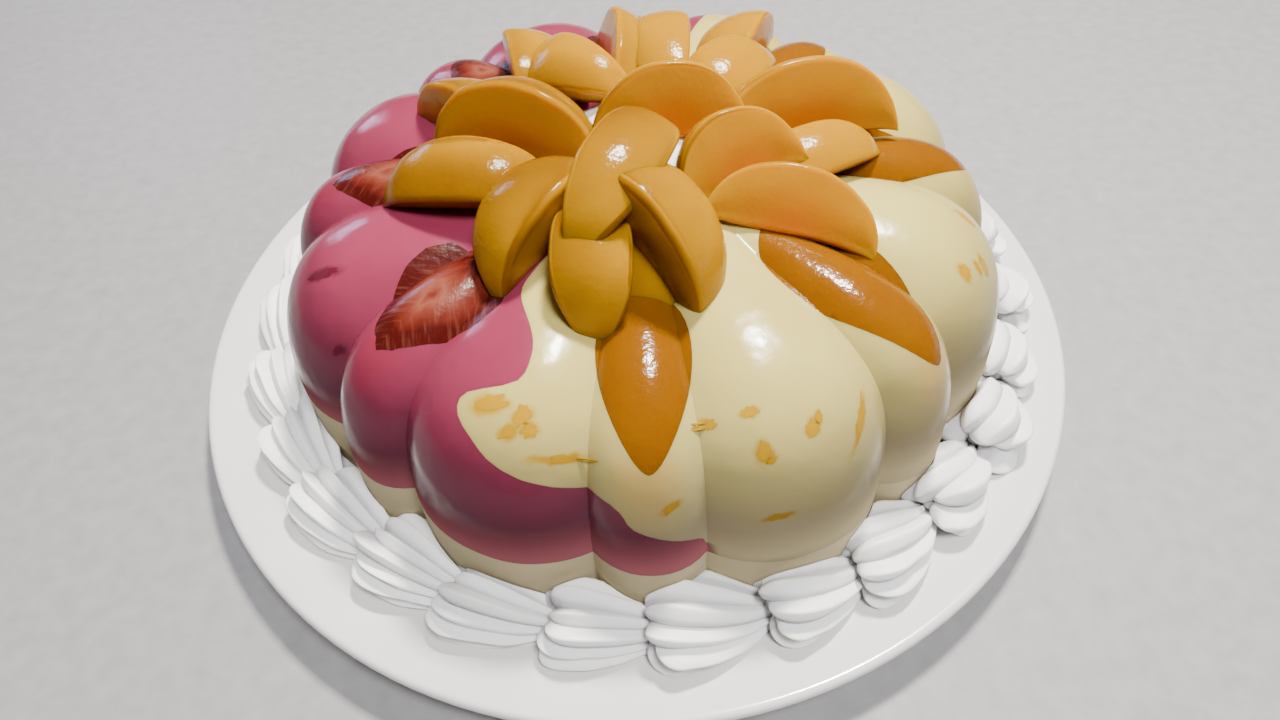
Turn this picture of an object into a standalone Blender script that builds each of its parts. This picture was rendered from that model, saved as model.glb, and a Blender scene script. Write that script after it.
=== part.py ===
"""Ring-moulded milk jelly in two colours, set with fruit, on its round plate.

Metres, +Z up. The origin is the middle of the plate's foot, on the table, and the
view that shows the front of the jelly looks along +Y. Azimuths are measured about
the jelly's own middle, counter-clockwise from +X.
"""
import math

import bmesh
import bpy
from mathutils import Matrix, Vector

MM = 0.001
GAP = 0.3 * MM

# Plate
PLATE_RADIUS = 160 * MM
PLATE_FLOOR_RADIUS = 112 * MM
PLATE_FLOOR_HEIGHT = 10 * MM
PLATE_RIM_HEIGHT = 18 * MM
PLATE_WALL = 5 * MM
PLATE_FOOT_RADIUS = 96 * MM
PLATE_FOOT_WIDTH = 7 * MM
PLATE_STEPS = 54
PLATE_SLOPE_POINTS = 4

# Jelly, turned out of a fluted ring mould
JELLY_CENTRE = Vector((4.4 * MM, -4.0 * MM, PLATE_FLOOR_HEIGHT + GAP))
JELLY_RADIUS = 124 * MM
JELLY_HEIGHT = 77 * MM
JELLY_CROWN_RADIUS = 61 * MM
JELLY_SHOULDER_POWER = 3.6
WELL_RADIUS = 33 * MM
WELL_DEPTH = 22 * MM
LOBE_PAIRS = 8
NARROW_LOBE = math.radians(16)
NARROW_LOBE_AZIMUTH = math.radians(268.5)
NARROW_LOBE_SET_BACK = 2 * MM
CREASE_DEPTH = 8.5 * MM
LOBE_ROUNDNESS = 2.3
NARROW_COLUMNS = 4
WIDE_COLUMNS = 5

# Layers in the jelly
BASE_LAYER_HEIGHT = 25 * MM
BASE_LAYER_TILT = 0.05
BASE_LAYER_WAVE = 1.2 * MM
PINK_BACK_AZIMUTH = 71
# The pink's front edge: climb of the edge seen from the jelly's middle, and its azimuth
PINK_FRONT_EDGE = (
    (-8, 277), (13, 277), (18, 275), (22, 267), (26, 263), (28, 253),
    (31, 246), (35.5, 241), (39, 249), (44, 248), (50, 239), (60, 240), (90, 250),
)
COLOUR_WALL_RAYS = 34

# Fruit set flush into the narrow lobes: name, azimuth, inner and outer radius, width
PEACH_INLAYS = (
    ("peach_inlay_front", 269.0, 58, 112, 25),
    ("peach_inlay_right", 315.0, 52, 114, 28),
    ("peach_inlay_side", 359.0, 56, 110, 26),
    ("peach_inlay_back", 44.0, 58, 104, 25),
)
BERRY_INLAYS = (
    ("strawberry_inlay_back", 92.0, 60, 96, 27),
    ("strawberry_inlay_far", 132.0, 62, 97, 28),
    ("strawberry_inlay_side", 179.0, 62, 99, 27),
    ("strawberry_inlay_front", 223.5, 62, 102, 31),
)
INLAY_DEPTH = 9 * MM
INLAY_CUTTER_ABOVE = 16 * MM

# Peach slices heaped on the crown. Each is a wedge of a stoned peach.
PEACH_WEDGE = math.radians(58)
PEACH_STONE_DEPTH = 8 * MM
PEACH_MIDDLE_DEPTH = 16.7 * MM
# Name, middle x y z in mm, heading, climb and roll in degrees, length and radius in mm;
# the slices that lie on top come first
PEACH_HEAP = (
    ("peach_01", 2, -38.5, 112, -116, 1, -15, 60, 24.5),
    ("peach_02", 13, 0, 106.5, 8, 7, -50, 50, 25),
    ("peach_03", 31, -19, 100.5, 24, 6, -60, 42, 25),
    ("peach_04", -29, 0, 104, 158, 0, 40, 56, 25.5),
    ("peach_05", -19, 29, 99.5, 132, -22, -24, 56, 25),
    ("peach_06", 16, 41, 101, 90, -9, -8, 56, 24),
    ("peach_07", 36.5, 20, 100, 45, 2, 14, 54, 23.5),
    ("peach_08", -48.5, -20, 94.5, 170, -4, -16, 60, 25.5),
    ("peach_09", -24.5, -41, 99, -129, -8, 15, 52, 27.5),
    ("peach_10", -9, -61, 97.5, -90, -20, 2, 44, 25),
    ("peach_11", 11, -54.5, 102, -47, -29, -26, 54, 28),
    ("peach_12", 2, -50, 92, -75, -5, 20, 44, 22),
    ("peach_13", 52.5, -33, 92, -18, -9, -69, 52, 22),
    ("peach_14", 56, -18, 93.5, 18, 6, 18, 58, 21),
    ("peach_15", 58.5, 6.5, 99.5, 8, -2, -53, 60, 25.5),
    ("peach_16", 41, 42, 96, 65, 5, -25, 59, 24.5),
    ("peach_17", 6, 45, 97, 95, -10, 47, 58, 25.5),
    ("peach_18", -28.5, 43, 95.5, 102, -5, 25, 52, 25),
    ("peach_19", -45, 14, 95.5, 135, 0, 30, 56, 25.5),
)

# Whipped cream, piped as a ring of shells round the foot of the jelly
SHELL_COUNT = 27
SHELL_FIRST_AZIMUTH = math.radians(273)
SHELL_RING_CENTRE = Vector((3.0 * MM, 0.5 * MM, PLATE_FLOOR_HEIGHT))
SHELL_RING_RADIUS = 133 * MM
SHELL_OUTER_WIDTH = 14 * MM
SHELL_INNER_WIDTH = 21 * MM
SHELL_HEIGHT = 20 * MM
SHELL_OVERLAP = 1.55
SHELL_TONGUES = 4
SHELL_GROOVE = 0.3
CREAM_MOUND_HEIGHT = 12 * MM

COLOURS = {
    "plate": ((0.80, 0.78, 0.75), 0.25),
    "pink": ((0.72, 0.24, 0.33), 0.18),
    "white": ((0.80, 0.76, 0.60), 0.18),
    "base": ((0.62, 0.60, 0.46), 0.15),
    "peach": ((0.80, 0.36, 0.02), 0.22),
    "inlay": ((0.78, 0.28, 0.01), 0.22),
    "strawberry": ((0.45, 0.05, 0.03), 0.3),
    "cream": ((0.86, 0.85, 0.82), 0.45),
}


def clear_scene():
    for thing in list(bpy.data.objects):
        bpy.data.objects.remove(thing, do_unlink=True)


def new_collection(name):
    collection = bpy.data.collections.new(name)
    bpy.context.scene.collection.children.link(collection)
    return collection


def new_material(name):
    colour, roughness = COLOURS[name]
    material = bpy.data.materials.new(name)
    material.use_nodes = True
    material.diffuse_color = (*colour, 1)
    shader = material.node_tree.nodes["Principled BSDF"]
    shader.inputs["Base Color"].default_value = (*colour, 1)
    shader.inputs["Roughness"].default_value = roughness
    shader.inputs["Metallic"].default_value = 0
    return material


def add_object(name, bm, collection, material=None):
    """Make an object of a bmesh and free it."""
    mesh = bpy.data.meshes.new(name)
    bm.to_mesh(mesh)
    bm.free()
    thing = bpy.data.objects.new(name, mesh)
    collection.objects.link(thing)
    if material:
        mesh.materials.append(material)
    return thing


def hide_cutter(cutter):
    cutter.hide_render = True
    cutter.display_type = "WIRE"
    return cutter


def bake(thing):
    """Put the evaluated shape and the object's place into its mesh."""
    bpy.context.view_layer.update()
    evaluated = thing.evaluated_get(bpy.context.evaluated_depsgraph_get())
    mesh = bpy.data.meshes.new_from_object(evaluated)
    mesh.transform(thing.matrix_world)
    thing.modifiers.clear()
    thing.matrix_world = Matrix.Identity(4)
    thing.data = mesh
    return thing


def boolean(thing, operation, cutter, solver="EXACT"):
    """Apply one Boolean with an object, or with all of a collection."""
    modifier = thing.modifiers.new("boolean", "BOOLEAN")
    modifier.operation = operation
    modifier.solver = solver
    if isinstance(cutter, bpy.types.Collection):
        modifier.operand_type = "COLLECTION"
        modifier.collection = cutter
    else:
        modifier.object = cutter
    return bake(thing)


def islands(thing):
    """The separate bodies of a mesh, as lists of vertex numbers, largest first."""
    bm = bmesh.new()
    bm.from_mesh(thing.data)
    bm.verts.ensure_lookup_table()
    seen = set()
    bodies = []
    for start in bm.verts:
        if start.index in seen:
            continue
        body = []
        front = [start]
        seen.add(start.index)
        while front:
            vert = front.pop()
            body.append(vert.index)
            for edge in vert.link_edges:
                other = edge.other_vert(vert)
                if other.index not in seen:
                    seen.add(other.index)
                    front.append(other)
        bodies.append(body)
    bm.free()
    return sorted(bodies, key=len, reverse=True)


def keep_body(thing, keep):
    """Leave only the vertices listed in keep."""
    kept = set(keep)
    bm = bmesh.new()
    bm.from_mesh(thing.data)
    spare = [vert for vert in bm.verts if vert.index not in kept]
    bmesh.ops.delete(bm, geom=spare, context="VERTS")
    bm.to_mesh(thing.data)
    bm.free()
    return thing


def tidy(thing):
    """Merge what a Boolean left closer than it can be seen, and drop loose scraps."""
    bm = bmesh.new()
    bm.from_mesh(thing.data)
    bmesh.ops.remove_doubles(bm, verts=bm.verts, dist=0.00003)
    bmesh.ops.dissolve_degenerate(bm, edges=bm.edges, dist=0.00003)
    bm.to_mesh(thing.data)
    bm.free()
    return keep_body(thing, islands(thing)[0])


def copy_of(thing, name, collection, material=None):
    twin = bpy.data.objects.new(name, thing.data.copy())
    collection.objects.link(twin)
    if material:
        twin.data.materials.clear()
        twin.data.materials.append(material)
    return twin


def loft(rings):
    """Skin closed rings of equal length, listed from bottom to top, and cap both ends."""
    bm = bmesh.new()
    rows = [[bm.verts.new(point) for point in ring] for ring in rings]
    count = len(rows[0])
    for lower, upper in zip(rows, rows[1:]):
        for i in range(count):
            j = (i + 1) % count
            bm.faces.new((lower[i], lower[j], upper[j], upper[i]))
    bm.faces.new(rows[0][::-1])
    bm.faces.new(rows[-1])
    return bm


def screw_solid(name, profile, steps, collection, material=None):
    """Turn a profile that runs from the axis over the top, down outside and back."""
    bm = bmesh.new()
    verts = [bm.verts.new((radius, 0, height)) for radius, height in profile]
    for first, second in zip(verts, verts[1:]):
        bm.edges.new((first, second))
    thing = add_object(name, bm, collection, material)
    screw = thing.modifiers.new("turn", "SCREW")
    screw.steps = steps
    screw.render_steps = steps
    screw.use_merge_vertices = True
    screw.merge_threshold = 0.0001
    return thing


def shade(thing, degrees=40):
    thing.data.shade_smooth()
    thing.data.set_sharp_from_angle(angle=math.radians(degrees))


# Plate


def plate_top(radius):
    """Height of the plate's upper side: flat, then a gentle rise to the rim."""
    rise = max(0.0, (radius - PLATE_FLOOR_RADIUS) / (PLATE_RADIUS - PLATE_FLOOR_RADIUS))
    return PLATE_FLOOR_HEIGHT + (PLATE_RIM_HEIGHT - PLATE_FLOOR_HEIGHT) * rise ** 1.8


def plate_profile():
    lip = PLATE_WALL * 0.35
    slope = (PLATE_RADIUS - lip - PLATE_FLOOR_RADIUS) / PLATE_SLOPE_POINTS
    slope_radii = [PLATE_FLOOR_RADIUS + slope * k for k in range(PLATE_SLOPE_POINTS + 1)]
    upper = [(0, PLATE_FLOOR_HEIGHT)]
    upper += [(radius, plate_top(radius)) for radius in slope_radii]
    outer = [
        (PLATE_RADIUS, plate_top(PLATE_RADIUS) - lip),
        (PLATE_RADIUS - 0.3 * lip, plate_top(PLATE_RADIUS) - 2 * lip),
    ]
    lower = [(radius, plate_top(radius) - PLATE_WALL) for radius in slope_radii[-2:0:-2]]
    foot_outer = PLATE_FOOT_RADIUS
    foot_inner = PLATE_FOOT_RADIUS - PLATE_FOOT_WIDTH
    foot_top = PLATE_FLOOR_HEIGHT - PLATE_WALL
    foot = [
        (foot_outer + 2.5 * MM, foot_top), (foot_outer + 0.8 * MM, 1 * MM), (foot_outer, 0),
        (foot_inner, 0), (foot_inner - 1 * MM, 1 * MM), (foot_inner - 2 * MM, foot_top), (0, foot_top),
    ]
    return upper + outer + lower + foot


def make_plate(parts, material):
    plate = screw_solid("plate", plate_profile(), PLATE_STEPS, parts, material)
    shade(bake(plate), 35)
    return plate


def make_plate_cutter(tools):
    """The plate's upper side, a gap higher, down to well under it."""
    radii = [PLATE_FLOOR_RADIUS - 20 * MM + 10 * MM * k for k in range(9)]
    upper = [(0, PLATE_FLOOR_HEIGHT + GAP)]
    upper += [(radius, plate_top(radius) + GAP) for radius in radii]
    lower = [(radii[-1], -10 * MM), (0, -10 * MM)]
    cutter = screw_solid("plate_cutter", upper + lower, PLATE_STEPS, tools)
    return hide_cutter(bake(cutter))


# Jelly


def flute_dip(azimuth):
    """How far the mould's surface lies inside its outermost line at an azimuth."""
    pair = 2 * math.pi / LOBE_PAIRS
    across = (azimuth - NARROW_LOBE_AZIMUTH + NARROW_LOBE / 2) % pair
    if across < NARROW_LOBE:
        edge = abs(2 * across / NARROW_LOBE - 1) ** LOBE_ROUNDNESS
        return NARROW_LOBE_SET_BACK + (CREASE_DEPTH - NARROW_LOBE_SET_BACK) * edge
    edge = abs(2 * (across - NARROW_LOBE) / (pair - NARROW_LOBE) - 1) ** LOBE_ROUNDNESS
    return CREASE_DEPTH * edge


def flute_azimuths():
    """Column azimuths, with one on every crease."""
    pair = 2 * math.pi / LOBE_PAIRS
    azimuths = []
    for k in range(LOBE_PAIRS):
        start = NARROW_LOBE_AZIMUTH - NARROW_LOBE / 2 + k * pair
        azimuths += [start + NARROW_LOBE * i / NARROW_COLUMNS for i in range(NARROW_COLUMNS)]
        wide = pair - NARROW_LOBE
        azimuths += [start + NARROW_LOBE + wide * i / WIDE_COLUMNS for i in range(WIDE_COLUMNS)]
    return azimuths


def shoulder(turn):
    """Radius and height of the outermost line, from the foot (0) to the crown (a quarter turn)."""
    power = 2 / JELLY_SHOULDER_POWER
    reach = JELLY_RADIUS - JELLY_CROWN_RADIUS
    radius = JELLY_CROWN_RADIUS + reach * abs(math.cos(turn)) ** power
    return radius, JELLY_HEIGHT * abs(math.sin(turn)) ** power


def jelly_sections():
    """Outer line of the mould as radius, height, outward normal and depth of the flutes."""
    turns = [math.radians(a) for a in (0, 12, 20, 30, 40, 50, 60, 70, 80, 89.9)]
    sections = []
    for turn in turns:
        radius, height = shoulder(turn)
        ahead = Vector(shoulder(turn + 0.001)) - Vector(shoulder(turn))
        normal = Vector((ahead.y, -ahead.x)).normalized()
        sections.append((radius, height, normal, radius / JELLY_RADIUS))
    sections.append((WELL_RADIUS + 14 * MM, JELLY_HEIGHT, Vector((0, 1)), 0.25))
    sections.append((WELL_RADIUS + 5 * MM, JELLY_HEIGHT - 1 * MM, Vector((-0.5, 1)), 0))
    sections.append((WELL_RADIUS + 1 * MM, JELLY_HEIGHT - 5 * MM, Vector((-1, 0.5)), 0))
    sections.append((WELL_RADIUS, JELLY_HEIGHT - WELL_DEPTH, Vector((-1, 1)), 0))
    return sections


def make_jelly_form(tools, grow=0.0):
    rings = []
    for radius, height, normal, depth in jelly_sections():
        ring = []
        for azimuth in flute_azimuths():
            dip = flute_dip(azimuth) * depth - grow
            r = radius - normal.x * dip
            z = height - normal.y * dip
            ring.append(JELLY_CENTRE + Vector((r * math.cos(azimuth), r * math.sin(azimuth), z)))
        rings.append(ring)
    if grow:
        rings.insert(0, [point - Vector((0, 0, 2 * PLATE_FLOOR_HEIGHT)) for point in rings[0]])
    return add_object("jelly_form", loft(rings), tools)


def front_edge_azimuth(climb):
    """Azimuth of the pink's front edge at a climb, smoothed through its points. Degrees."""
    last = len(PINK_FRONT_EDGE) - 1
    for k in range(last):
        (low, start), (high, end) = PINK_FRONT_EDGE[k:k + 2]
        if climb <= high:
            before = PINK_FRONT_EDGE[max(k - 1, 0)]
            after = PINK_FRONT_EDGE[min(k + 2, last)]
            slope_in = (end - before[1]) / (high - before[0]) * (high - low)
            slope_out = (after[1] - start) / (after[0] - low) * (high - low)
            t = max(0.0, (climb - low) / (high - low))
            return (
                (2 * t ** 3 - 3 * t ** 2 + 1) * start + (t ** 3 - 2 * t ** 2 + t) * slope_in
                + (3 * t ** 2 - 2 * t ** 3) * end + (t ** 3 - t ** 2) * slope_out)
    return PINK_FRONT_EDGE[-1][1]


def make_colour_wall(tools):
    """A thin fan-shaped wall where the pink meets the white, for cutting them apart."""
    reach = 2 * JELLY_RADIUS
    lowest, steepest = -8, 84
    rays = []
    for k in range(COLOUR_WALL_RAYS + 1):
        # most rays go where the edge bends, on the shoulder
        climb = lowest + (steepest - lowest) * (k / COLOUR_WALL_RAYS) ** 1.25
        rays.append((climb, front_edge_azimuth(climb)))
    rays += [(climb, PINK_BACK_AZIMUTH) for climb in (85, 50, 25, lowest)]
    bm = bmesh.new()
    foot = bm.verts.new(JELLY_CENTRE)
    rim = []
    for climb, azimuth in rays:
        climb, azimuth = math.radians(climb), math.radians(azimuth)
        flat = math.cos(climb)
        direction = Vector((flat * math.cos(azimuth), flat * math.sin(azimuth), math.sin(climb)))
        rim.append(bm.verts.new(JELLY_CENTRE + direction * reach))
    for first, second in zip(rim, rim[1:]):
        bm.faces.new((foot, first, second))
    wall = add_object("colour_wall", bm, tools)
    thickness = wall.modifiers.new("thickness", "SOLIDIFY")
    thickness.thickness = GAP
    thickness.offset = 0
    return hide_cutter(bake(wall))


def make_base_sheet(tools):
    """A thin wavy sheet over the bottom layer, for cutting it off."""
    bm = bmesh.new()
    bmesh.ops.create_grid(bm, x_segments=8, y_segments=8, size=JELLY_RADIUS * 1.2)
    for vert in bm.verts:
        azimuth = math.atan2(vert.co.y, vert.co.x)
        wave = BASE_LAYER_WAVE * math.sin(3 * azimuth + 0.6)
        level = BASE_LAYER_HEIGHT - BASE_LAYER_TILT * vert.co.x + wave
        vert.co += JELLY_CENTRE + Vector((0, 0, level))
    bmesh.ops.triangulate(bm, faces=bm.faces)
    sheet = add_object("base_sheet", bm, tools)
    thickness = sheet.modifiers.new("thickness", "SOLIDIFY")
    thickness.thickness = GAP
    thickness.offset = 0
    return hide_cutter(bake(sheet))


def split(thing, cutter, collection, names, materials, side):
    """Cut a solid in two with a thin wall; side() of a point orders the two halves."""
    boolean(thing, "DIFFERENCE", cutter)
    bodies = islands(thing)[:2]
    bodies.sort(key=lambda body: sum(side(thing.data.vertices[i].co) for i in body) / len(body))
    halves = []
    for body, name, material in zip(bodies, names, materials):
        half = copy_of(thing, name, collection, material)
        halves.append(keep_body(half, body))
    return halves


# Fruit in the jelly


def peach_outline(turn, length, width):
    """A slice seen from above: blunt inside, drawn out to a point at the lower end."""
    x = -math.cos(turn) * length / 2
    taper = 1 - 0.28 * (x / (length / 2))
    return x, math.copysign(abs(math.sin(turn)) ** 1.15, math.sin(turn)) * width / 2 * taper


def berry_outline(turn, length, width):
    """A strawberry cut lengthwise: broad at the stalk, narrow at the tip."""
    x = -math.cos(turn) * length / 2
    taper = 1 - 0.5 * (x / (length / 2))
    return x, math.copysign(abs(math.sin(turn)) ** 0.8, math.sin(turn)) * width / 2 * taper


def crown_height(radius):
    """Height of the jelly's outermost line at a radius."""
    if radius <= JELLY_CROWN_RADIUS:
        return JELLY_HEIGHT
    out = (radius - JELLY_CROWN_RADIUS) / (JELLY_RADIUS - JELLY_CROWN_RADIUS)
    return JELLY_HEIGHT * (1 - out ** JELLY_SHOULDER_POWER) ** (1 / JELLY_SHOULDER_POWER)


def make_inlay_cutter(name, outline, row, tools, grow):
    """A prism of the fruit's outline, square to the jelly's surface."""
    _, azimuth, inner, outer, width = row
    azimuth = math.radians(azimuth)
    inner, outer, width = inner * MM, outer * MM, width * MM
    away = Vector((math.cos(azimuth), math.sin(azimuth), 0))
    start = away * inner + Vector((0, 0, crown_height(inner)))
    end = away * outer + Vector((0, 0, crown_height(outer)))
    along = (end - start).normalized()
    across = Vector((-math.sin(azimuth), math.cos(azimuth), 0))
    normal = along.cross(across)
    centre = JELLY_CENTRE + (start + end) / 2
    length = (end - start).length
    steps = 14
    rings = []
    for level in (-INLAY_DEPTH - grow, INLAY_CUTTER_ABOVE):
        ring = []
        for k in range(steps):
            x, y = outline(2 * math.pi * (k + 0.5) / steps, length + 2 * grow, width + 2 * grow)
            ring.append(centre + along * x - across * y + normal * level)
        rings.append(ring)
    return hide_cutter(add_object(name, loft(rings), tools))


def make_inlays(parts, tools, form, halves, rows, outline, material):
    pink, white = halves
    for row in rows:
        name = row[0]
        cutter = make_inlay_cutter(name + "_cutter", outline, row, tools, 0.0)
        fruit = copy_of(form, name, parts, material)
        boolean(fruit, "INTERSECT", cutter)
        shade(tidy(fruit))
        pocket = make_inlay_cutter(name + "_pocket", outline, row, tools, GAP)
        for half in (pink, white):
            boolean(half, "DIFFERENCE", pocket)


# Peach slices on the crown


def make_peach_slice(row, collection, material, grow=0.0):
    """A wedge of a stoned peach: round skin side up, two cut faces, hollowed stone side."""
    name, x, y, z, heading, climb, roll, length, radius = row
    sections = 7
    skin_points = 5
    rings = []
    for k in range(sections):
        turn = math.radians(7) + (math.pi - math.radians(14)) * k / (sections - 1)
        along = -math.cos(turn) * (length / 2 * MM + grow)
        skin = math.sin(turn) * radius * MM + grow
        stone = min(PEACH_STONE_DEPTH * math.sin(turn) ** 1.5, skin / 2) - grow
        ring = [(-PEACH_WEDGE / 2, stone)]
        ring += [(PEACH_WEDGE * (i / (skin_points - 1) - 0.5), skin) for i in range(skin_points)]
        ring += [(PEACH_WEDGE / 2, stone)]
        points = []
        for angle, reach in ring:
            side = reach * math.sin(angle) + math.copysign(grow, angle)
            points.append(Vector((along, side, reach * math.cos(angle) - PEACH_MIDDLE_DEPTH)))
        rings.append(points[::-1])
    turned = Matrix.Rotation(math.radians(heading), 4, "Z")
    turned = turned @ Matrix.Rotation(-math.radians(climb), 4, "Y")
    turned = turned @ Matrix.Rotation(math.radians(roll), 4, "X")
    placed = Matrix.Translation((x * MM, y * MM, z * MM)) @ turned
    bm = loft(rings)
    bmesh.ops.transform(bm, matrix=placed, verts=bm.verts)
    return add_object(name, bm, collection, material)


def make_peach_heap(parts, tools, material, resting_on):
    """Lay the top slices whole; the ones below give way where they are pressed."""
    above = []
    for row in PEACH_HEAP:
        piece = make_peach_slice(row, parts, material)
        for cutter in above + resting_on:
            if touches(piece, cutter):
                boolean(piece, "DIFFERENCE", cutter)
        shade(tidy(piece))
        swollen = make_peach_slice(row, tools, None, GAP)
        swollen.name = row[0] + "_cutter"
        above.append(hide_cutter(swollen))
    return above


def box_of(thing):
    corners = [vert.co for vert in thing.data.vertices]
    low = Vector([min(c[i] for c in corners) for i in range(3)])
    high = Vector([max(c[i] for c in corners) for i in range(3)])
    return low, high


def touches(first, second):
    low_a, high_a = box_of(first)
    low_b, high_b = box_of(second)
    return all(low_a[i] < high_b[i] and low_b[i] < high_a[i] for i in range(3))


# Cream


def shell_swell(along):
    """Size of a piped shell as a part of its largest, from its head (0) to its tail (1)."""
    if along < 0.3:
        return math.sin(math.pi / 2 * (along + 0.12) / 0.42)
    return 1 - 0.75 * ((along - 0.3) / 0.7) ** 1.2


def make_shell(number, collection):
    """One star-piped shell: a fat head of tongues that run together in a tail along the ring."""
    step = 2 * math.pi / SHELL_COUNT
    start = SHELL_FIRST_AZIMUTH + number * step
    rings = []
    for along in (0.0, 0.12, 0.34, 0.66, 1.0):
        azimuth = start + (along - 0.1) * SHELL_OVERLAP * step
        swell = shell_swell(along)
        ring = [(-0.85, 0.0), (0.85, 0.0)]
        for k in range(2 * SHELL_TONGUES - 1):
            turn = math.radians(8) + math.radians(164) * k / (2 * SHELL_TONGUES - 2)
            reach = 1 if k % 2 == 0 else 1 - SHELL_GROOVE
            ring.append((math.cos(turn) * reach, math.sin(turn) * reach))
        points = []
        for out, up in ring:
            width = SHELL_OUTER_WIDTH if out > 0 else SHELL_INNER_WIDTH
            radius = SHELL_RING_RADIUS + out * width * swell
            height = up * SHELL_HEIGHT * swell + 1 * MM
            points.append(SHELL_RING_CENTRE + Vector((
                radius * math.cos(azimuth), radius * math.sin(azimuth), height)))
        rings.append(points[::-1])
    return add_object("shell_%02d" % number, loft(rings), collection)


def make_cream_border(parts, material, jelly_cutter, plate_cutter):
    shells = new_collection("shells")
    first = make_shell(0, parts)
    first.name = "cream_border"
    first.data.materials.append(material)
    for number in range(1, SHELL_COUNT):
        make_shell(number, shells)
    boolean(first, "UNION", shells, "MANIFOLD")
    for shell in list(shells.objects):
        bpy.data.objects.remove(shell, do_unlink=True)
    bpy.data.collections.remove(shells)
    boolean(first, "DIFFERENCE", jelly_cutter, "MANIFOLD")
    boolean(first, "DIFFERENCE", plate_cutter, "MANIFOLD")
    shade(tidy(first))
    return first


def make_cream_centre(parts, material, peach_cutters):
    """Cream that fills the ring's well and props up the slices."""
    crown = JELLY_HEIGHT
    profile = [
        (0, crown + CREAM_MOUND_HEIGHT), (8 * MM, crown + 0.9 * CREAM_MOUND_HEIGHT),
        (16 * MM, crown + 0.6 * CREAM_MOUND_HEIGHT), (24 * MM, crown + 0.5 * CREAM_MOUND_HEIGHT),
        (30 * MM, crown + 0.15 * CREAM_MOUND_HEIGHT), (31 * MM, crown - 4 * MM),
        (31 * MM, crown - WELL_DEPTH + GAP), (0, crown - WELL_DEPTH + GAP),
    ]
    cream = screw_solid("cream_centre", profile, 12, parts, material)
    cream.location = JELLY_CENTRE
    bake(cream)
    for cutter in peach_cutters:
        if touches(cream, cutter):
            boolean(cream, "DIFFERENCE", cutter)
    shade(tidy(cream))
    return cream


def main():
    clear_scene()
    parts = new_collection("moulded_jelly")
    tools = new_collection("cutters")
    materials = {name: new_material(name) for name in COLOURS}

    make_plate(parts, materials["plate"])

    form = hide_cutter(make_jelly_form(tools))
    swollen_form = hide_cutter(make_jelly_form(tools, 2 * GAP))
    swollen_form.name = "jelly_swollen"

    whole = hide_cutter(copy_of(form, "jelly_whole", tools))
    base, upper = split(
        whole, make_base_sheet(tools), parts, ("jelly_base", "jelly_upper"),
        (materials["base"], materials["white"]), lambda point: point.z)
    pink, white = split(
        upper, make_colour_wall(tools), parts, ("jelly_pink", "jelly_white"),
        (materials["pink"], materials["white"]), lambda point: point.x)
    for spare in (upper, whole):
        bpy.data.objects.remove(spare, do_unlink=True)

    halves = (pink, white)
    make_inlays(parts, tools, form, halves, PEACH_INLAYS, peach_outline, materials["inlay"])
    make_inlays(parts, tools, form, halves, BERRY_INLAYS, berry_outline, materials["strawberry"])
    plate_cutter = make_plate_cutter(tools)
    boolean(base, "DIFFERENCE", plate_cutter)
    for layer in (pink, white, base):
        shade(tidy(layer), 50)

    peach_cutters = make_peach_heap(parts, tools, materials["peach"], [swollen_form])
    make_cream_centre(parts, materials["cream"], peach_cutters)
    make_cream_border(parts, materials["cream"], swollen_form, plate_cutter)


main()
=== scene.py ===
"""Looks of a ring-moulded milk jelly with fruit, piped cream and its plate.

Metres, +Z up. The pink half of the jelly is towards -X, and its front faces -Y.
"""
import math
import random

import bpy
from mathutils import Matrix, Vector, noise


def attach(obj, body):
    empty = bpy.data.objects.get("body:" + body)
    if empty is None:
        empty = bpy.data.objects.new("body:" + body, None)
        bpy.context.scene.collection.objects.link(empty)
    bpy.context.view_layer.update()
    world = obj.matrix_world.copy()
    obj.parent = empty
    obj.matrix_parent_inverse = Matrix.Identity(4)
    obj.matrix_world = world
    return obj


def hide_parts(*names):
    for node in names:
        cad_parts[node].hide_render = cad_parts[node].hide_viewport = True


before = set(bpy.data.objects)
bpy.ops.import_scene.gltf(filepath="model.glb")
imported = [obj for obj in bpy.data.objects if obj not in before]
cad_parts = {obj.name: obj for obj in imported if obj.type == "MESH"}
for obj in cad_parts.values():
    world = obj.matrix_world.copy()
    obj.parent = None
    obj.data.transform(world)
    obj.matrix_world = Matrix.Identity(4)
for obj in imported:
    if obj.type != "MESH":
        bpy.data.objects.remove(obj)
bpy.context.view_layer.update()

MM = 0.001


# Table, light and camera. The jelly stands on a plain pale table. A warm lamp is high
# behind it on the right, a cool window low behind it on the left, and a broad ceiling
# light over the front fills the shade.


def new_finish(name, roughness, **sockets):
    """A material whose even values are set straight on its shader."""
    material = bpy.data.materials.new(name)
    material.use_nodes = True
    shader = material.node_tree.nodes["Principled BSDF"]
    shader.inputs["Roughness"].default_value = roughness
    for socket, value in sockets.items():
        shader.inputs[socket.replace("_", " ")].default_value = value
    return material, material.node_tree, shader


def place_reading(tree, source="Object", stretch=(1, 1, 1)):
    """Coordinates for a pattern: the piece's own place, or a named attribute of it."""
    if source == "Object":
        where = tree.nodes.new("ShaderNodeTexCoord").outputs["Object"]
    else:
        attribute = tree.nodes.new("ShaderNodeAttribute")
        attribute.attribute_name = source
        where = attribute.outputs["Vector"]
    mapping = tree.nodes.new("ShaderNodeMapping")
    mapping.inputs["Scale"].default_value = stretch
    tree.links.new(where, mapping.inputs["Vector"])
    return mapping.outputs["Vector"]


def speckle(tree, where, scale, detail, roughness=0.55):
    """A fine even pattern between 0 and 1; the scale is per metre."""
    grain = tree.nodes.new("ShaderNodeTexNoise")
    grain.inputs["Scale"].default_value = scale
    grain.inputs["Detail"].default_value = detail
    grain.inputs["Roughness"].default_value = roughness
    tree.links.new(where, grain.inputs["Vector"])
    return grain.outputs["Fac"]


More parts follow.
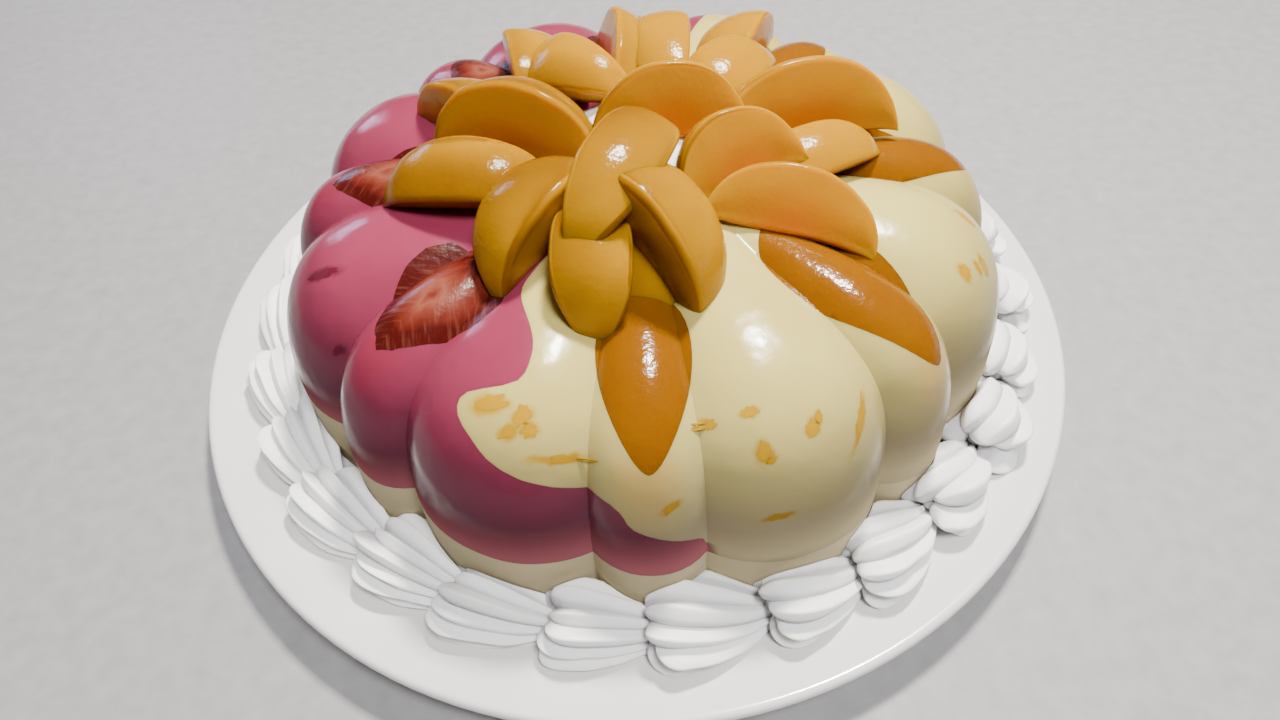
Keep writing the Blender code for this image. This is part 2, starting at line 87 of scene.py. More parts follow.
def ramp(tree, amount, stops):
    """Turn an amount into a colour through (place, colour) stops."""
    node = tree.nodes.new("ShaderNodeValToRGB")
    elements = node.color_ramp.elements
    while len(elements) < len(stops):
        elements.new(0.5)
    for element, (place, colour) in zip(elements, stops):
        element.position = place
        element.color = (*colour, 1)
    tree.links.new(amount, node.inputs["Fac"])
    return node.outputs["Color"]


TABLE_SIDE = 6
bpy.ops.object.select_all(action="DESELECT")
bpy.ops.mesh.primitive_plane_add(size=TABLE_SIDE, location=(0, 0, 0))
table = bpy.context.object
table.name = "table"
table_finish, tree, shader = new_finish("pale_table", 0.55)
table_grain = speckle(tree, place_reading(tree), 140, 4)
tree.links.new(
    ramp(tree, table_grain, ((0.3, (0.28, 0.27, 0.275)), (0.7, (0.33, 0.32, 0.325)))),
    shader.inputs["Base Color"])
table.data.materials.append(table_finish)

# The camera's axes and place, a row for each of x, y and z, and its lens in mm
CAMERA_PLACE = Matrix((
    (0.99797326, 0.06363441, 0.0, 0.00201485),
    (-0.04906712, 0.76951563, -0.63674015, -0.22353456),
    (-0.04051859, 0.63544965, 0.77107841, 0.24906544),
    (0, 0, 0, 1)))
CAMERA_LENS = 23.0625
bpy.ops.object.camera_add()
camera = bpy.context.object
camera.matrix_world = CAMERA_PLACE
camera.data.lens = CAMERA_LENS
camera.data.sensor_width = 36
camera.data.clip_start = 0.01
bpy.context.scene.camera = camera

# Each light: name, place, size, power in watts, colour, and whether wet surfaces
# mirror it. All are aimed at the jelly.
LIGHT_AIM = Vector((0, 0, 0.05))
LIGHTS = (
    ("lamp", (0.20, 0.31, 0.92), 0.12, 26, (1.0, 0.95, 0.86), True),
    ("window", (-0.62, 0.78, 0.30), 0.20, 1.1, (0.62, 0.64, 1.0), True),
    ("ceiling", (0.26, -0.44, 1.20), 0.30, 22, (0.99, 0.99, 1.0), False),
)
for name, place, size, power, colour, mirrored in LIGHTS:
    aim = (LIGHT_AIM - Vector(place)).to_track_quat("-Z", "Y").to_euler()
    bpy.ops.object.light_add(type="AREA", location=place, rotation=aim)
    light = bpy.context.object
    light.name = name
    light.data.size = size
    light.data.energy = power
    light.data.color = colour
    light.visible_glossy = mirrored

ROOM_COLOUR = (0.86, 0.90, 0.96, 1)
ROOM_STRENGTH = 0.12
world = bpy.data.worlds.new("room_light")
world.use_nodes = True
room_light = world.node_tree.nodes["Background"]
room_light.inputs["Color"].default_value = ROOM_COLOUR
room_light.inputs["Strength"].default_value = ROOM_STRENGTH
bpy.context.scene.world = world


# Plate. A round serving plate of thick glazed china, flat in the middle with a gently
# rising rim, a rounded lip and a foot ring under it.
PLATE_RADIUS = 160 * MM
PLATE_FLOOR_RADIUS = 112 * MM
PLATE_FLOOR_HEIGHT = 10 * MM
PLATE_RIM_HEIGHT = 18 * MM
PLATE_WALL = 5 * MM
PLATE_RISE_POWER = 1.8
PLATE_COLUMNS = 144
# The underside from its middle to the far side of the foot ring: radius, height in mm
PLATE_UNDERSIDE = (
    (60, 5), (86, 5), (88, 1.2), (89, 0.2), (90, 0), (95, 0), (96, 0.3), (97, 1.4), (98.5, 5),
)
LIP_RADIUS = 1.9 * MM
LIP_HALF_HEIGHT = 2.1 * MM
LIP_SET_BACK = 2 * MM
RIM_START = PLATE_RADIUS - 3 * MM
RIM_STEPS = 12


def plate_top(radius):
    """Height of the plate's upper side at a radius."""
    rise = max(0.0, (radius - PLATE_FLOOR_RADIUS) / (PLATE_RADIUS - PLATE_FLOOR_RADIUS))
    return PLATE_FLOOR_HEIGHT + (PLATE_RIM_HEIGHT - PLATE_FLOOR_HEIGHT) * rise ** PLATE_RISE_POWER


def only(piece):
    """Select one object and nothing else."""
    bpy.ops.object.select_all(action="DESELECT")
    piece.select_set(True)
    bpy.context.view_layer.objects.active = piece


def face_outwards(piece):
    only(piece)
    bpy.ops.object.mode_set(mode="EDIT")
    bpy.ops.mesh.select_all(action="SELECT")
    bpy.ops.mesh.normals_make_consistent(inside=False)
    bpy.ops.object.mode_set(mode="OBJECT")


def draw_up(name, columns, rings, place):
    """Draw a disc up ring by ring, then let place(column, ring) put every point."""
    bpy.ops.object.select_all(action="DESELECT")
    bpy.ops.mesh.primitive_circle_add(vertices=columns, radius=1, fill_type="NGON")
    piece = bpy.context.object
    bpy.ops.object.mode_set(mode="EDIT")
    bpy.ops.mesh.select_all(action="SELECT")
    for _ in range(rings - 1):
        bpy.ops.mesh.extrude_region_move(TRANSFORM_OT_translate={"value": (0, 0, 1)})
    bpy.ops.object.mode_set(mode="OBJECT")
    step = 2 * math.pi / columns
    start = math.atan2(piece.data.vertices[0].co.y, piece.data.vertices[0].co.x)
    for vert in piece.data.vertices:
        column = round((math.atan2(vert.co.y, vert.co.x) - start) / step) % columns
        vert.co = place(column, round(vert.co.z))
    face_outwards(piece)
    piece.name = name
    return piece


def settle(piece, slot, *nodes):
    """Leave a finished piece at the origin and tie it to the frame."""
    only(piece)
    bpy.ops.object.transform_apply(location=True, rotation=True, scale=True)
    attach(piece, "root")
    if nodes:
        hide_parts(*nodes)


def smooth(piece, degrees):
    """Shade a piece smooth, but for edges sharper than an angle."""
    only(piece)
    bpy.ops.object.shade_smooth_by_angle(angle=math.radians(degrees))


def dress(piece, finish):
    piece.data.materials.clear()
    piece.data.materials.append(finish)


def relief(tree, shader, heights):
    """Chain bumps, each (height output, strength, distance), into the shader's normal."""
    normal = None
    for height, strength, distance in heights:
        bump = tree.nodes.new("ShaderNodeBump")
        bump.inputs["Strength"].default_value = strength
        bump.inputs["Distance"].default_value = distance
        tree.links.new(height, bump.inputs["Height"])
        if normal:
            tree.links.new(normal, bump.inputs["Normal"])
        normal = bump.outputs["Normal"]
    tree.links.new(normal, shader.inputs["Normal"])


plate_profile = [(radius * MM, height * MM) for radius, height in PLATE_UNDERSIDE]
foot_edge = plate_profile[-1][0]
for k in range(1, 9):
    radius = foot_edge + (PLATE_RADIUS - LIP_SET_BACK - foot_edge) * k / 8
    plate_profile.append((radius, plate_top(radius) - PLATE_WALL))
for k in range(9):
    turn = math.radians(-90 + 22.5 * k)
    plate_profile.append((
        PLATE_RADIUS - LIP_RADIUS + LIP_RADIUS * math.cos(turn),
        plate_top(PLATE_RADIUS - LIP_SET_BACK) - LIP_HALF_HEIGHT
        + LIP_HALF_HEIGHT * math.sin(turn)))
for k in range(RIM_STEPS + 1):
    radius = RIM_START - (RIM_START - PLATE_FLOOR_RADIUS) * k / RIM_STEPS
    plate_profile.append((radius, plate_top(radius)))
plate_profile += [(radius, PLATE_FLOOR_HEIGHT) for radius in (108 * MM, 70 * MM)]


def plate_point(column, ring):
    radius, height = plate_profile[ring]
    azimuth = 2 * math.pi * column / PLATE_COLUMNS
    return radius * math.cos(azimuth), radius * math.sin(azimuth), height


plate = draw_up("plate_china", PLATE_COLUMNS, len(plate_profile), plate_point)
smooth(plate, 50)
china, tree, shader = new_finish("white_glaze", 0.16, Coat_Weight=0.35, Coat_Roughness=0.06)
glaze = speckle(tree, place_reading(tree), 26, 2)
tree.links.new(
    ramp(tree, glaze, ((0.3, (0.70, 0.68, 0.66)), (0.7, (0.74, 0.72, 0.70)))),
    shader.inputs["Base Color"])
relief(tree, shader, ((speckle(tree, place_reading(tree), 90, 2), 0.05, 0.0006),))
dress(plate, china)
settle(plate, "plate", "plate")


# Jelly. One fluted ring mould was filled in three pours: pink milk jelly, white milk
# jelly, and a clearer layer that is the bottom now that it is turned out. The layers
# are cut from one form, so that they meet without a step.
JELLY_CENTRE = Vector((4.4 * MM, -4.0 * MM, 10.3 * MM))
JELLY_RADIUS = 124 * MM
JELLY_HEIGHT = 77 * MM
JELLY_CROWN_RADIUS = 61 * MM
JELLY_SHOULDER_POWER = 3.6
WELL_RADIUS = 33 * MM
WELL_DEPTH = 22 * MM
WELL_LIP_RADIUS = 40 * MM
WELL_LIP_ROUNDING = 6 * MM
WELL_RINGS = 18
CROWN_FLUTE_DEPTH = 0.48
CROWN_FLUTE_FADE = 20 * MM
LOBE_PAIRS = 8
LOBE_PAIR = math.radians(360 / LOBE_PAIRS)
NARROW_LOBE = math.radians(16)
NARROW_LOBE_AZIMUTH = math.radians(268.5)
NARROW_SET_BACK = 2 * MM
CREASE_DEPTH = 8.5 * MM
LOBE_ROUNDNESS = 2.3
SWAY = 0.45 * MM
SWAYS_PER_METRE = 28
NARROW_COLUMNS = 12
WIDE_COLUMNS = 20
OUTER_RINGS = 64
BASE_LAYER_HEIGHT = 25 * MM
BASE_LAYER_TILT = -0.05
BASE_LAYER_WAVE = 1.2 * MM
BASE_LAYER_UNEVENNESS = 0.6 * MM
BASE_BLOCK_SIDE = 0.3
BASE_BLOCK_DEPTH = 60 * MM
PINK_BACK_AZIMUTH = 71
PINK_FOOT_CLIMB = -8
PINK_TOP_CLIMB = 86
PINK_FRONT_STEPS = 110
PINK_BACK_STEPS = 16
PINK_REACH = 0.4
# Where the pink ends at the front: climb from the jelly's middle and azimuth, in degrees
PINK_FRONT_EDGE = (
    (-8, 277), (13, 277), (18, 275), (22, 267), (26, 263), (28, 253),
    (31, 246), (35.5, 241), (39, 249), (44, 248), (50, 239), (60, 240), (90, 250),
)


def flute_dip(azimuth):
    """How far the surface lies inside the mould's outermost line."""
    across = (azimuth - NARROW_LOBE_AZIMUTH + NARROW_LOBE / 2) % LOBE_PAIR
    if across < NARROW_LOBE:
        edge = abs(2 * across / NARROW_LOBE - 1) ** LOBE_ROUNDNESS
        return NARROW_SET_BACK + (CREASE_DEPTH - NARROW_SET_BACK) * edge
    edge = abs(2 * (across - NARROW_LOBE) / (LOBE_PAIR - NARROW_LOBE) - 1) ** LOBE_ROUNDNESS
    return CREASE_DEPTH * edge


def shoulder(turn):
    """Radius and height of the mould's outline, from foot (0) to crown (a right angle)."""
    power = 2 / JELLY_SHOULDER_POWER
    spread = JELLY_RADIUS - JELLY_CROWN_RADIUS
    radius = JELLY_CROWN_RADIUS + spread * abs(math.cos(turn)) ** power
    return Vector((radius, JELLY_HEIGHT * abs(math.sin(turn)) ** power))


def even_rings(line, count):
    """Points an even distance apart along a line of 2-D points, with its normals."""
    reach = [0.0]
    for first, second in zip(line, line[1:]):
        reach.append(reach[-1] + (second - first).length)
    rings = []
    at = 0
    for k in range(count):
        goal = reach[-1] * k / (count - 1)
        while at < len(line) - 2 and reach[at + 1] < goal:
            at += 1
        run = line[at + 1] - line[at]
        point = line[at] + run * (goal - reach[at]) / max(run.length, 1e-9)
        rings.append((point.x, point.y, Vector((run.y, -run.x)).normalized()))
    return rings


jelly_azimuths = []
for pair in range(LOBE_PAIRS):
    start = NARROW_LOBE_AZIMUTH - NARROW_LOBE / 2 + pair * LOBE_PAIR
    jelly_azimuths += [start + NARROW_LOBE * i / NARROW_COLUMNS for i in range(NARROW_COLUMNS)]
    wide = LOBE_PAIR - NARROW_LOBE
    jelly_azimuths += [start + NARROW_LOBE + wide * i / WIDE_COLUMNS for i in range(WIDE_COLUMNS)]
JELLY_COLUMNS = len(jelly_azimuths)

quarter = [shoulder(math.radians(90 * k / 600)) for k in range(601)]
jelly_rings = [
    (radius, height, normal, radius / JELLY_RADIUS)
    for radius, height, normal in even_rings(quarter, OUTER_RINGS)]
well_line = [
    Vector((JELLY_CROWN_RADIUS - 2 * MM, JELLY_HEIGHT)), Vector((WELL_LIP_RADIUS, JELLY_HEIGHT))]
for k in range(1, 7):
    turn = math.radians(15 * k)
    well_line.append(Vector((
        WELL_LIP_RADIUS - WELL_LIP_ROUNDING * math.sin(turn),
        JELLY_HEIGHT - WELL_LIP_ROUNDING * (1 - math.cos(turn)))))
well_line.append(Vector((WELL_RADIUS, JELLY_HEIGHT - WELL_DEPTH)))
for radius, height, normal in even_rings(well_line, WELL_RINGS):
    fade = max(0.0, min(1.0, (radius - WELL_LIP_RADIUS) / CROWN_FLUTE_FADE))
    jelly_rings.append((radius, height, normal, CROWN_FLUTE_DEPTH * fade))


def jelly_point(column, ring):
    azimuth = jelly_azimuths[column]
    radius, height, normal, depth = jelly_rings[ring]
    dip = flute_dip(azimuth) * depth
    outward = Vector((math.cos(azimuth), math.sin(azimuth), 0))
    point = JELLY_CENTRE + outward * (radius - normal.x * dip)
    point.z += height - normal.y * dip
    if ring:
        sway = noise.noise(point * SWAYS_PER_METRE) * SWAY
        point += (outward * normal.x + Vector((0, 0, normal.y))) * sway
    return point


def carve(piece, operation, tool):
    cut = piece.modifiers.new("cut", "BOOLEAN")
    cut.operation = operation
    cut.object = tool
    cut.solver = "MANIFOLD"
    only(piece)
    bpy.ops.object.modifier_apply(modifier=cut.name)


def twin(piece, name):
    """A copy of a piece with a mesh of its own."""
    only(piece)
    bpy.ops.object.duplicate(linked=False)
    copy = bpy.context.object
    copy.name = name
    return copy


def drop(*tools):
    for tool in tools:
        bpy.data.objects.remove(tool, do_unlink=True)


jelly_form = draw_up("jelly_form", JELLY_COLUMNS, len(jelly_rings), jelly_point)

bpy.ops.object.select_all(action="DESELECT")
bpy.ops.mesh.primitive_grid_add(x_subdivisions=90, y_subdivisions=90, size=BASE_BLOCK_SIDE)
base_block = bpy.context.object
for vert in base_block.data.vertices:
    azimuth = math.atan2(vert.co.y, vert.co.x)
    wave = BASE_LAYER_WAVE * math.sin(3 * azimuth + 0.6)
    vert.co.z = BASE_LAYER_HEIGHT + BASE_LAYER_TILT * vert.co.x + wave
    vert.co.z += BASE_LAYER_UNEVENNESS * noise.noise(vert.co * 60)
    vert.co += JELLY_CENTRE
bpy.ops.object.mode_set(mode="EDIT")
bpy.ops.mesh.select_all(action="SELECT")
bpy.ops.mesh.extrude_region_move(TRANSFORM_OT_translate={"value": (0, 0, -BASE_BLOCK_DEPTH)})
bpy.ops.object.mode_set(mode="OBJECT")
face_outwards(base_block)


def front_edge_azimuth(climb):
    """Azimuth in degrees where the pink ends at a climb, smoothed through its points."""
    last = len(PINK_FRONT_EDGE) - 1
    for k in range(last):
        (low, start), (high, end) = PINK_FRONT_EDGE[k:k + 2]
        if climb <= high:
            before = PINK_FRONT_EDGE[max(k - 1, 0)]
            after = PINK_FRONT_EDGE[min(k + 2, last)]
            slope_in = (end - before[1]) / (high - before[0]) * (high - low)
            slope_out = (after[1] - start) / (after[0] - low) * (high - low)
            t = max(0.0, (climb - low) / (high - low))
            return (
                (2 * t ** 3 - 3 * t ** 2 + 1) * start + (t ** 3 - 2 * t ** 2 + t) * slope_in
                + (3 * t ** 2 - 2 * t ** 3) * end + (t ** 3 - t ** 2) * slope_out)
    return PINK_FRONT_EDGE[-1][1]


pink_rays = []
rise = PINK_TOP_CLIMB - PINK_FOOT_CLIMB
for k in range(PINK_FRONT_STEPS + 1):
    climb = PINK_FOOT_CLIMB + rise * (k / PINK_FRONT_STEPS) ** 1.15
    wobble = 0.7 * noise.noise(Vector((climb * 0.35, 3, 0)))
    pink_rays.append((climb, front_edge_azimuth(climb) + wobble))
for k in range(PINK_BACK_STEPS + 1):
    climb = PINK_TOP_CLIMB - rise * k / PINK_BACK_STEPS
    wobble = 1.5 * noise.noise(Vector((climb * 0.1, 7, 0)))
    pink_rays.append((climb, PINK_BACK_AZIMUTH + wobble))
bpy.ops.object.select_all(action="DESELECT")
bpy.ops.mesh.primitive_cone_add(
    vertices=len(pink_rays), radius1=1, depth=1, end_fill_type="TRIFAN", location=(0, 0, 0))
pink_wedge = bpy.context.object
step = 2 * math.pi / len(pink_rays)
for vert in pink_wedge.data.vertices:
    flat = math.hypot(vert.co.x, vert.co.y)
    if flat > 0.5:
        turn = round(math.atan2(vert.co.y, vert.co.x) / step) % len(pink_rays)
        climb, azimuth = (math.radians(value) for value in pink_rays[turn])
        away = Vector((math.cos(azimuth), math.sin(azimuth), 0)) * math.cos(climb)
        vert.co = JELLY_CENTRE + (away + Vector((0, 0, math.sin(climb)))) * PINK_REACH
    elif vert.co.z > 0:
        vert.co = JELLY_CENTRE + Vector((-0.6, 0, 0.05))
    else:
        vert.co = JELLY_CENTRE + Vector((0, 0, -2 * MM))
face_outwards(pink_wedge)

jelly_base = twin(jelly_form, "jelly_base_layer")
carve(jelly_base, "INTERSECT", base_block)
jelly_upper = twin(jelly_form, "jelly_upper")
carve(jelly_upper, "DIFFERENCE", base_block)
jelly_pink = twin(jelly_upper, "jelly_pink_layer")
carve(jelly_pink, "INTERSECT", pink_wedge)
jelly_white = jelly_upper
jelly_white.name = "jelly_white_layer"
carve(jelly_white, "DIFFERENCE", pink_wedge)
drop(base_block, pink_wedge)


# Fruit in the flutes. Slices of peach and halved strawberries were laid in the narrow
# flutes of the mould before it was filled, so they sit flush with the jelly.
# Each row: name, azimuth in degrees, inner and outer radius and width in mm.
PEACH_INLAYS = (
    ("peach_inlay_front", 269.0, 58, 112, 25),
    ("peach_inlay_right", 315.0, 52, 114, 28),
    ("peach_inlay_side", 359.0, 56, 110, 26),
    ("peach_inlay_back", 44.0, 58, 104, 25),
)
BERRY_INLAYS = (
    ("strawberry_inlay_back", 92.0, 60, 96, 27),
    ("strawberry_inlay_far", 132.0, 62, 97, 28),
    ("strawberry_inlay_side", 179.0, 62, 99, 27),
    ("strawberry_inlay_front", 223.5, 62, 102, 31),
)
INLAY_DEPTH = 9 * MM
INLAY_CLEARANCE = 16 * MM
INLAY_POINTS = 44
INLAY_BULGE = 0.35 * MM


def crown_height(radius):
    """Height of the jelly's crown and shoulder at a radius about its middle."""
    if radius <= JELLY_CROWN_RADIUS:
        return JELLY_HEIGHT
    out = (radius - JELLY_CROWN_RADIUS) / (JELLY_RADIUS - JELLY_CROWN_RADIUS)
    return JELLY_HEIGHT * (1 - out ** JELLY_SHOULDER_POWER) ** (1 / JELLY_SHOULDER_POWER)


def peach_outline(turn):
    """Outline of a slice laid flat, pointed at both ends, for half sizes of 1."""
    x = -math.cos(turn)
    return x, math.copysign(abs(math.sin(turn)) ** 1.15, math.sin(turn)) * (1 - 0.28 * x)


def berry_outline(turn):
    """Ragged outline of a halved strawberry, broad at its shoulder."""
    x = -math.cos(turn)
    ragged = 1 + 0.07 * noise.noise(Vector((turn * 3, 5, 0)))
    wide = math.copysign(abs(math.sin(turn)) ** 0.8, math.sin(turn)) * (1 - 0.5 * x)
    return x * ragged, wide * ragged


def inlay_frame(row):
    """Middle, axes and half sizes of a piece of fruit in the jelly's surface."""
    _, azimuth, inner, outer, width = row
    azimuth = math.radians(azimuth)
    away = Vector((math.cos(azimuth), math.sin(azimuth), 0))
    start = away * inner * MM + Vector((0, 0, crown_height(inner * MM)))
    end = away * outer * MM + Vector((0, 0, crown_height(outer * MM)))
    along = (end - start).normalized()
    across = Vector((-math.sin(azimuth), math.cos(azimuth), 0))
    middle = JELLY_CENTRE + (start + end) / 2
    return middle, along, across, along.cross(across), (end - start).length / 2, width / 2 * MM


def inlay_prism(row, outline):
    """A cutter with a piece of fruit's outline, square to the jelly's surface."""
    middle, along, across, normal, half_length, half_width = inlay_frame(row)
    bpy.ops.object.select_all(action="DESELECT")
    bpy.ops.mesh.primitive_cylinder_add(
        vertices=INLAY_POINTS, radius=1, depth=1, end_fill_type="NGON")
    prism = bpy.context.object
    for vert in prism.data.vertices:
        x, y = outline(math.atan2(vert.co.y, vert.co.x))
        level = INLAY_CLEARANCE if vert.co.z > 0 else -INLAY_DEPTH
        vert.co = middle + along * x * half_length + across * y * half_width + normal * level
    face_outwards(prism)
    return prism


def set_in(row, outline, veins):
    """Cut a piece of fruit out of the form, and its pocket out of the layers."""
    prism = inlay_prism(row, outline)
    fruit = twin(jelly_form, row[0] + "_fruit")
    carve(fruit, "INTERSECT", prism)
    carve(jelly_pink, "DIFFERENCE", prism)
    carve(jelly_white, "DIFFERENCE", prism)
    drop(prism)
    middle, along, across, normal, half_length, half_width = inlay_frame(row)
    fruit.data.attributes.new("grain", "FLOAT_VECTOR", "POINT")
    fruit.data.attributes.new("edge", "FLOAT", "POINT")
    where, edge = fruit.data.attributes["grain"], fruit.data.attributes["edge"]
    for vert in fruit.data.vertices:
        offset = vert.co - middle
        x, y = offset.dot(along) / half_length, offset.dot(across) / half_width
        rim = outline(math.atan2(y, -x) if abs(x) + abs(y) > 1e-6 else 0)
        out = min(1.0, math.hypot(x, y) / max(math.hypot(*rim), 1e-6))
        where.data[vert.index].vector = (
            x * half_length + abs(y) * half_width * veins, y * half_width, offset.dot(normal))
        edge.data[vert.index].value = out
        if offset.dot(normal) > -INLAY_DEPTH * 0.9:
            vert.co += normal * INLAY_BULGE * (1 - out ** 4)
    smooth(fruit, 50)
    return fruit


def blend_colours(tree, amount, first, second):
    """Mix two colour outputs, or a colour output and a plain colour, by an amount."""
    node = tree.nodes.new("ShaderNodeMix")
    node.data_type = "RGBA"
    tree.links.new(amount, node.inputs["Factor"])
    for socket, colour in ((node.inputs["A"], first), (node.inputs["B"], second)):
        if isinstance(colour, tuple):
            socket.default_value = (*colour, 1)
        else:
            tree.links.new(colour, socket)
    return node.outputs["Result"]


def named_amount(tree, name):
    attribute = tree.nodes.new("ShaderNodeAttribute")
    attribute.attribute_name = name
    return attribute.outputs["Fac"]


peach_flesh, tree, shader = new_finish(
    "peach_in_jelly", 0.15, Subsurface_Weight=0.5, Subsurface_Radius=(0.008, 0.0035, 0.0005),
    Subsurface_Scale=1.0, Specular_IOR_Level=0.22)
fibres = speckle(tree, place_reading(tree, "grain", (1, 0.25, 1)), 260, 3)
cloud = speckle(tree, place_reading(tree), 60, 2)
flesh = ramp(tree, cloud, ((0.3, (0.175, 0.056, 0.0)), (0.7, (0.205, 0.074, 0.0))))
tree.links.new(
    blend_colours(tree, fibres, flesh, (0.19, 0.064, 0.0)), shader.inputs["Base Color"])
wet_skin = speckle(tree, place_reading(tree), 520, 2, 0.6)
relief(tree, shader, ((wet_skin, 0.22, 0.0007), (cloud, 0.2, 0.003)))
for row in PEACH_INLAYS:
    fruit = set_in(row, peach_outline, 0)
    dress(fruit, peach_flesh)
    settle(fruit, "inlay", row[0])

berry_flesh, tree, shader = new_finish(
    "cut_strawberry", 0.26, Subsurface_Weight=0.3, Subsurface_Radius=(0.004, 0.001, 0.0008),
    Subsurface_Scale=1.0, Specular_IOR_Level=0.25)
uneven = tree.nodes.new("ShaderNodeMath")
uneven.operation = "MULTIPLY_ADD"
uneven.inputs[1].default_value = 0.55
tree.links.new(
    speckle(tree, place_reading(tree, "grain", (0.6, 1, 1)), 170, 3), uneven.inputs[0])
tree.links.new(named_amount(tree, "edge"), uneven.inputs[2])
across_cut = ramp(tree, uneven.outputs["Value"], (
    (0.28, (0.13, 0.020, 0.012)), (0.45, (0.21, 0.062, 0.038)), (0.62, (0.16, 0.030, 0.017)),
    (0.85, (0.10, 0.011, 0.006)), (1.0, (0.055, 0.004, 0.003))))
streaks = speckle(tree, place_reading(tree, "grain", (1, 0.22, 0.1)), 520, 3)
streak_amount = ramp(tree, streaks, ((0.50, (0, 0, 0)), (0.72, (0.38, 0.38, 0.38))))
tree.links.new(
    blend_colours(tree, streak_amount, across_cut, (0.21, 0.064, 0.040)),
    shader.inputs["Base Color"])
wet_skin = speckle(tree, place_reading(tree), 480, 2, 0.6)
relief(tree, shader, ((streaks, 0.10, 0.0006), (wet_skin, 0.20, 0.0007)))
for row in BERRY_INLAYS:
    fruit = set_in(row, berry_outline, -0.9)
    dress(fruit, berry_flesh)
    settle(fruit, "strawberry", row[0])


# The three jelly layers, finished once the fruit's pockets are cut. Milk jelly is wet,
# smooth and cloudy. Scraps of fruit near its skin show through it as soft yellow, orange
# and dark red stains. Round the fruit in the flutes a soft orange and red painted glow
# stands for light carried through the jelly, and towards the foot the jelly is darkened
# by painted shade.
# Each row: azimuth in degrees, height above the foot, length and width in mm, lean.
PEACH_BITS = (
    (246.0, 72.0, 10, 5, 20), (251.2, 71.4, 6, 4.5, 70), (252.6, 69.6, 5, 4, 10),
    (249.8, 69.0, 5.5, 3.5, 40), (257.0, 63.5, 16, 2.6, 4), (277.5, 68.1, 4.5, 3.5, 0),
    (271.5, 53.3, 6.5, 2.4, 30), (283.5, 70.8, 5.5, 3, 0), (291.3, 66.2, 5, 4, 60),
    (292.6, 67.4, 3.5, 2.5, 60), (284.2, 63.8, 6, 4.5, 80), (285.0, 62.2, 3.5, 2.2, 30),
    (298.8, 61.3, 17, 2.8, 52), (285.3, 45.4, 8, 2.4, 8), (330.3, 68.1, 6, 4, 70),
    (334.9, 64.4, 7, 3.5, 75), (333.2, 65.9, 5, 2.4, 80), (342.2, 69.6, 9, 3, 80),
)
BERRY_BITS = (
    (203.3, 71.6, 13, 4, 60), (214.0, 60.0, 5, 2.4, 70), (220.1, 35.5, 7, 3, 75),
    (196.0, 36.0, 9, 5, 80), (199.0, 30.0, 6, 3.4, 60),
)
# Painted glow: soft tints round the fruit in the flutes that stand for light carried through the
# jelly.
PEACH_GLOW = (
    (269.0, 60.0, 26, 20, 90), (315.0, 60.0, 30, 22, 90), (359.0, 60.0, 26, 20, 90),
)
BERRY_GLOW = ((223.5, 70.0, 30, 22, 90), (179.0, 70.0, 26, 20, 90))
SPOT_RAGGEDNESS = 3.2 * MM
SPOT_DEPTH = 5 * MM
SPOT_REACH = 1.5
# Heights in the finish are shares of this one, which is just over the jelly's crown
FINISH_HEIGHT = 90 * MM


def jelly_reach(azimuth, height):
    """Radius of the jelly's flank about its middle at a height above its foot."""
    up = max(0.0, min(0.98, height / JELLY_HEIGHT))
    out = (1 - up ** JELLY_SHOULDER_POWER) ** (1 / JELLY_SHOULDER_POWER)
    radius = JELLY_CROWN_RADIUS + (JELLY_RADIUS - JELLY_CROWN_RADIUS) * out
    return radius - flute_dip(azimuth) * radius / JELLY_RADIUS


def flank(azimuth, height):
    """Place and outward direction on the jelly's flank."""
    reach = jelly_reach(azimuth, height)
    below, above = jelly_reach(azimuth, height - MM), jelly_reach(azimuth, height + MM)
    outward = Vector((math.cos(azimuth), math.sin(azimuth), 0))
    place = JELLY_CENTRE + outward * reach + Vector((0, 0, height))
    return place, (outward + Vector((0, 0, (below - above) / (2 * MM)))).normalized()


def scrap_frame(row):
    """Middle and axes (along, across, outward) of a scrap against the mould."""
    azimuth, height, _, _, lean = row
    place, outward = flank(math.radians(azimuth), height * MM)
    level = Vector((-math.sin(math.radians(azimuth)), math.cos(math.radians(azimuth)), 0))
    rise = outward.cross(level).normalized()
    along = level * math.cos(math.radians(lean)) + rise * math.sin(math.radians(lean))
    return place, Matrix((along, outward.cross(along), outward)).transposed()


